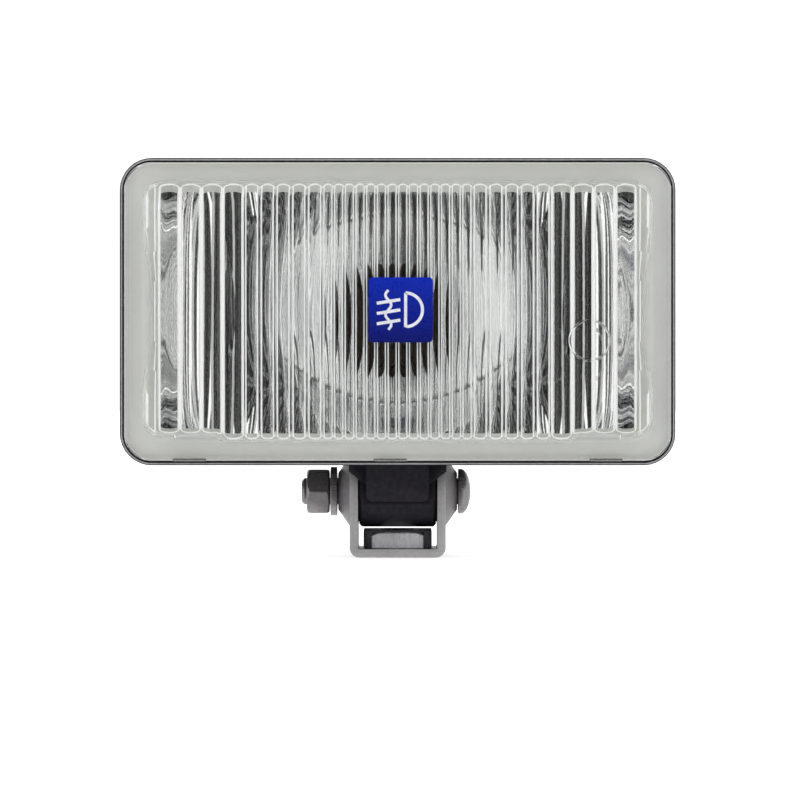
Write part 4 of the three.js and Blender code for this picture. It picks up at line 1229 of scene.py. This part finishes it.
# ------------------------------------------------------------------ reflector
@dataclass
class ReflectorUnit:
    """The mirror dish behind the glass."""

    finishes: Finishes
    focus: float = 23 * MM
    vertex_back: float = 46.5 * MM
    wall: float = 1.2 * MM
    opening: tuple[float, float] = (142.8 * MM, 70.4 * MM)
    corner: float = 4 * MM
    shelf_back: float = 10.5 * MM
    bulb_hole: float = 13.5 * MM
    scoop_size: tuple[float, float, float] = (20 * MM, 11 * MM, 52 * MM)
    scoop_margin: float = 0.2 * MM
    rings: int = 40

    def bowl(self, offset: float, front: float) -> bpy.types.Object:
        """A paraboloid as a solid, moved out by an offset.

        Args:
            offset: how far its surface is moved out.
            front: Y of its flat front.

        Returns:
            The solid.
        """
        vertex = self.front + self.vertex_back
        reach = math.sqrt(4 * self.focus * (vertex - front)) + 2 * MM
        profile: list[Point] = [(0.0, 0.0)]
        for ring in range(self.rings, -1, -1):
            s = reach * ring / self.rings
            slope = s / (2 * self.focus)
            length = math.hypot(1.0, slope)
            y = vertex - s * s / (4 * self.focus) + offset / length
            profile.append((s + offset * slope / length, y))
        profile[0] = (0.0, profile[1][1])
        stock = Stock()
        stock.turn(profile, (self.middle.x, 0, self.middle.z), (0, 1, 0), (1, 0, 0), 128)
        return stock.mesh("bowl")

    def scoop(self, side: int, offset: float) -> bpy.types.Object:
        """The rounded hollow at one end of the dish, as a solid.

        Args:
            side: -1 for the left end and 1 for the right.
            offset: how far its surface is moved out.

        Returns:
            The solid.
        """
        width, depth, height = self.scoop_size
        place = (
            self.middle.x + side * (self.opening[0] / 2 - self.scoop_margin - width),
            self.front + self.shelf_back,
            self.middle.z,
        )
        sizing = Matrix.Diagonal((width + offset, depth + offset, height + offset, 1.0))
        stock = Stock()
        bmesh.ops.create_uvsphere(
            stock.bm, u_segments=96, v_segments=48, radius=1.0, matrix=Matrix.Translation(place) @ sizing
        )
        return stock.mesh("scoop")

    def block(self, size: tuple[float, float], corner: float, front: float, rear: float) -> bpy.types.Object:
        """A slab with rounded corners about the optic axis.

        Args:
            size: its width and height.
            corner: its corners' radius.
            front: Y of its front.
            rear: Y of its rear.

        Returns:
            The slab.
        """
        stock = Stock()
        stock.slab((self.middle.x, self.middle.z), size, corner, front, rear, 8)
        return stock.mesh("block")

    def dish(self, offset: float, lead: float) -> bpy.types.Object:
        """The dish as a solid: the bowl within the opening, and the tray in front of it.

        Args:
            offset: how far its surface is moved out.
            lead: how far its front stands before the flange's.

        Returns:
            The solid.
        """
        low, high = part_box("reflector")
        front = low.y - lead
        size = (self.opening[0] + 2 * offset, self.opening[1] + 2 * offset)
        bowl = self.bowl(offset, front)
        for side in (-1, 1):
            bowl = carve(bowl, self.scoop(side, offset), "UNION")
        trimmed = carve(bowl, self.block(size, 0.0, front - 1 * MM, high.y + 5 * MM), "INTERSECT")
        shelf = self.front + self.shelf_back + offset
        return carve(trimmed, self.block(size, self.corner + offset, front, shelf), "UNION")

    def reflector(self) -> bpy.types.Object:
        """The whole reflector.

        Returns:
            The reflector, its faces around the opening marked as the flange's finish.
        """
        low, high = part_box("reflector")
        size = (high.x - low.x, high.z - low.z)
        flange = self.block(size, 7.2 * MM, low.y, low.y + self.wall)
        outside = carve(self.dish(self.wall, 0.0), flange, "UNION")
        hollow = carve(outside, self.dish(0.0, 1 * MM), "DIFFERENCE")
        stock = Stock()
        profile = [(0.0, -30 * MM), (self.bulb_hole, -30 * MM), (self.bulb_hole, 30 * MM), (0.0, 30 * MM)]
        centre = (self.middle.x, self.front + self.vertex_back, self.middle.z)
        stock.turn(profile, centre, (0, 1, 0), (1, 0, 0), 64)
        pierced = carve(hollow, stock.mesh("bulb_hole"), "DIFFERENCE")
        for face in pierced.data.polygons:
            level = abs(face.normal.y) > 0.95
            face.material_index = 1 if level and face.center.y < low.y + self.wall + 0.1 * MM else 0
        pierced.data.polygons.foreach_set("use_smooth", [True] * len(pierced.data.polygons))
        pierced.data.set_sharp_from_angle(angle=math.radians(20))
        pierced.name = "mirror_dish"
        return pierced

    def build(self) -> None:
        """Builds and dresses the reflector."""
        low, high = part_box("reflector")
        self.middle = (low + high) / 2
        self.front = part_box("badge")[0].y
        dish = self.reflector()
        settle(dish, Body.OPTIC, [self.finishes.mirror, self.finishes.flange], "reflector")


# ------------------------------------------------------------------ the rest
@dataclass
class Refinery:
    """The pieces that keep their CAD shape, with softened edges and their own finish."""

    finishes: Finishes
    head_corner: float = 9.4 * MM
    painted_lip_highlight_sizes: tuple[tuple[float, float], ...] = ((0.3 * MM, 0.03 * MM), (0.75 * MM, 1 * MM))

    def build(self) -> None:
        """Builds and dresses them."""
        done = self.finishes
        bracket, head, optic, clip = Body.BRACKET, Body.HEAD, Body.OPTIC, Body.CLIP
        jobs: list[tuple[str, Body, Slot, bpy.types.Material, float]] = [
            ("nut_retainer", bracket, Slot.PLASTIC, done.plastic, 0.2),
            ("mount_nut", bracket, Slot.PLATED_STEEL, done.bright, 0.25),
            ("pivot_washer", bracket, Slot.PLATED_STEEL, done.fastener, 0.2),
            ("pivot_nut", bracket, Slot.PLATED_STEEL, done.fastener, 0.2),
            ("pivot_bolt", bracket, Slot.PLATED_STEEL, done.fastener, 0.2),
            ("pivot_sleeve", head, Slot.BRACKET_STEEL, done.bracket, 0.15),
            ("cable_grommet", head, Slot.RUBBER, done.rubber, 0.3),
            ("bulb_holder", optic, Slot.BRACKET_STEEL, done.holder, 0.2),
            ("ground_tab", optic, Slot.BRASS, done.brass, 0.12),
            ("bulb_base", optic, Slot.PLATED_STEEL, done.fastener, 0.15),
            ("bulb_insulator", optic, Slot.CERAMIC, done.ceramic, 0.3),
            ("lead_terminal", optic, Slot.BRASS, done.brass, 0.12),
        ]
        jobs += [(f"holder_rivet_{i}", optic, Slot.PLATED_STEEL, done.fastener, 0.15) for i in range(1, 5)]
        for node, body, slot, material, width in jobs:
            piece = refined(node, f"{node}_finished", width * MM)
            settle(piece, body, [material], node)
        self.bracket()
        self.housing()
        for node, body, slot, material in (
            ("bulb_glass", optic, Slot.BULB, done.quartz),
            ("bulb_filament", optic, Slot.TUNGSTEN, done.tungsten),
            ("bulb_lead", optic, Slot.SLEEVE, done.sleeve),
            ("bulb_clip", clip, Slot.SPRING, done.spring),
        ):
            piece = refined(node, f"{node}_finished", 0.0)
            settle(piece, body, [material], node)

    def bracket(self) -> None:
        """Builds the bracket, its cut edges brighter than the faces of the strip: partly their own tone,
        partly painted highlight.
        """
        strip = refined("bracket", "bracket_finished", 0.35 * MM)
        for face in strip.data.polygons:
            # Faces looking front and back get the lighter steel, partly the cut edges' tone and partly
            # painted highlight.
            cut = abs(face.normal.x) < 0.6 and abs(face.normal.y) > 0.3
            face.material_index = 1 if cut else 0
        finishes = [self.finishes.bracket, self.finishes.cut_edge_sheen]
        settle(strip, Body.BRACKET, finishes, "bracket")

    def housing(self) -> None:
        """Builds the housing and a light grey line round the front of its lip, a painted highlight."""
        shell = refined("housing", "housing_finished", 0.0, shade_angle=30.0)
        evened = shell.modifiers.new("evened", "WEIGHTED_NORMAL")
        evened.keep_sharp = True
        settle(shell, Body.HEAD, [self.finishes.plastic], "housing")
        settle(self.painted_lip_highlight(), Body.HEAD, [self.finishes.lip])

    def painted_lip_highlight(self) -> bpy.types.Object:
        """A thin raised frame on the front of the housing's lip, light grey as a painted highlight.

        Returns:
            The frame.
        """
        low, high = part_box("housing")
        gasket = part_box("lens_gasket")
        middle = (gasket[0] + gasket[1]) / 2
        half = Vector((high.x, high.z - middle.z))
        frames = []
        for inset, reach in self.painted_lip_highlight_sizes:
            stock = Stock()
            size = (2 * (half.x - inset), 2 * (half.y - inset))
            rear = low.y + 0.1 * MM + reach
            stock.slab((middle.x, middle.z), size, self.head_corner - inset, low.y - reach, rear, 16)
            frames.append(stock.mesh("painted_lip_highlight"))
        return carve(frames[0], frames[1], "DIFFERENCE")


# ------------------------------------------------------------------ studio
@dataclass
class Studio:
    """The pale floor, the soft surroundings and the camera."""

    distance: float = 0.9
    eye_height: float = 47 * MM
    eye_side: float = 0.7 * MM
    frame_width: float = 233.3 * MM
    sensor: float = 36.0
    white: float = 1.15
    narrowing: float = 0.45

    def floor(self) -> None:
        """A wide pale floor under the bracket's foot."""
        stock = Stock()
        bmesh.ops.create_grid(stock.bm, x_segments=2, y_segments=2, size=12.0)
        floor = stock.mesh("floor")
        for vert in floor.data.vertices:
            vert.co.z = -0.05 * MM
        paint = Painter("pale_floor").set(Base_Color=(0.93, 0.93, 0.93, 1.0), Roughness=0.9)
        paint.set(Emission_Color=(1.0, 1.0, 1.0, 1.0), Emission_Strength=0.55)
        tree = paint.tree
        clear = tree.nodes.new("ShaderNodeBsdfTransparent")
        mix = tree.nodes.new("ShaderNodeMixShader")
        link(tree, self.plainly_seen(tree), mix.inputs[0])
        link(tree, clear.outputs[0], mix.inputs[1])
        link(tree, paint.shader.outputs[0], mix.inputs[2])
        link(tree, mix.outputs[0], tree.nodes["Material Output"].inputs["Surface"])
        floor.data.materials.append(paint.material)

    @staticmethod
    def plainly_seen(tree: bpy.types.NodeTree) -> bpy.types.NodeSocket:
        """A mask of 1 for what the camera sees directly and for scattered light, 0 for mirrored light.

        Args:
            tree: the tree that the mask is made in.

        Returns:
            The mask.
        """
        seen = tree.nodes.new("ShaderNodeLightPath")
        plain = tree.nodes.new("ShaderNodeMath")
        plain.operation = "ADD"
        plain.use_clamp = True
        link(tree, seen.outputs["Is Camera Ray"], plain.inputs[0])
        link(tree, seen.outputs["Diffuse Depth"], plain.inputs[1])
        return plain.outputs[0]

    def surroundings(self) -> None:
        """White all round, except for a dim upright zone in front that only mirrors and glass show."""
        world = bpy.data.worlds.new("studio")
        bpy.context.scene.world = world
        world.use_nodes = True
        tree = world.node_tree
        tree.nodes.clear()
        place = tree.nodes.new("ShaderNodeTexCoord").outputs["Generated"]
        split = tree.nodes.new("ShaderNodeSeparateXYZ")
        link(tree, place, split.inputs[0])
        ramp = tree.nodes.new("ShaderNodeValToRGB")
        stops = (
            (0.0, 0.02),
            (0.19, 0.03),
            (0.205, 1.1),
            (0.25, 1.3),
            (0.27, 0.12),
            (0.36, 0.1),
            (0.38, 1.2),
            (0.75, 1.2),
            (1.0, 0.9),
        )
        ramp.color_ramp.elements.remove(ramp.color_ramp.elements[1])
        for index, (where, value) in enumerate(stops):
            element = ramp.color_ramp.elements[0] if index == 0 else ramp.color_ramp.elements.new(where)
            element.position = where
            element.color = (value, value, value, 1.0)
        aside = tree.nodes.new("ShaderNodeMath")
        aside.operation = "ABSOLUTE"
        link(tree, split.outputs["X"], aside.inputs[0])
        widened = tree.nodes.new("ShaderNodeMath")
        widened.operation = "MULTIPLY_ADD"
        link(tree, aside.outputs[0], widened.inputs[0])
        widened.inputs[1].default_value = self.narrowing
        link(tree, split.outputs["Y"], widened.inputs[2])
        spread = tree.nodes.new("ShaderNodeMapRange")
        spread.inputs["From Min"].default_value = -1.0
        spread.inputs["From Max"].default_value = 1.0
        link(tree, widened.outputs[0], spread.inputs["Value"])
        link(tree, spread.outputs["Result"], ramp.inputs["Fac"])
        mix = tree.nodes.new("ShaderNodeMix")
        mix.data_type = "RGBA"
        mix.inputs[7].default_value = (1.0, 1.0, 1.0, 1.0)
        link(tree, self.plainly_seen(tree), mix.inputs["Factor"])
        link(tree, ramp.outputs["Color"], mix.inputs[6])
        background = tree.nodes.new("ShaderNodeBackground")
        background.inputs["Strength"].default_value = self.white
        link(tree, mix.outputs[2], background.inputs["Color"])
        out = tree.nodes.new("ShaderNodeOutputWorld")
        link(tree, background.outputs[0], out.inputs["Surface"])

    def camera(self) -> None:
        """A level camera in front of the lens."""
        lens_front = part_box("badge")[0].y
        data = bpy.data.cameras.new("camera")
        data.sensor_width = self.sensor
        data.lens = self.sensor * self.distance / self.frame_width
        data.clip_start = 0.01
        eye = bpy.data.objects.new("camera", data)
        eye.location = (self.eye_side, lens_front - self.distance, self.eye_height)
        eye.rotation_euler = (math.pi / 2, 0, 0)
        bpy.context.scene.collection.objects.link(eye)
        bpy.context.scene.camera = eye

    def build(self) -> None:
        """Sets the studio up."""
        self.camera()
        self.floor()
        self.surroundings()
        bpy.context.scene.view_settings.view_transform = "Standard"


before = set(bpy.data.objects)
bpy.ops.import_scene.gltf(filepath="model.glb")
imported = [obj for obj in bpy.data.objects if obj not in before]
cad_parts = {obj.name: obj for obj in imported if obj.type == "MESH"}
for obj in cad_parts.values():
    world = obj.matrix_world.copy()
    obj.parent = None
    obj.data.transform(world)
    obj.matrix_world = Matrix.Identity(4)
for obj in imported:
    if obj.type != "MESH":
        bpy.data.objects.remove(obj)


def main() -> None:
    logging.basicConfig(level=logging.INFO, format="%(name)s %(message)s")
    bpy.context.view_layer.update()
    low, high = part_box("badge")
    finishes = Finishes(low.z, high.z)
    Studio().build()
    builders: tuple[Callable[[], None], ...] = (
        LensUnit(finishes).build,
        ReflectorUnit(finishes).build,
        Refinery(finishes).build,
    )
    for build in builders:
        build()


if __name__ == "__main__":
    main()
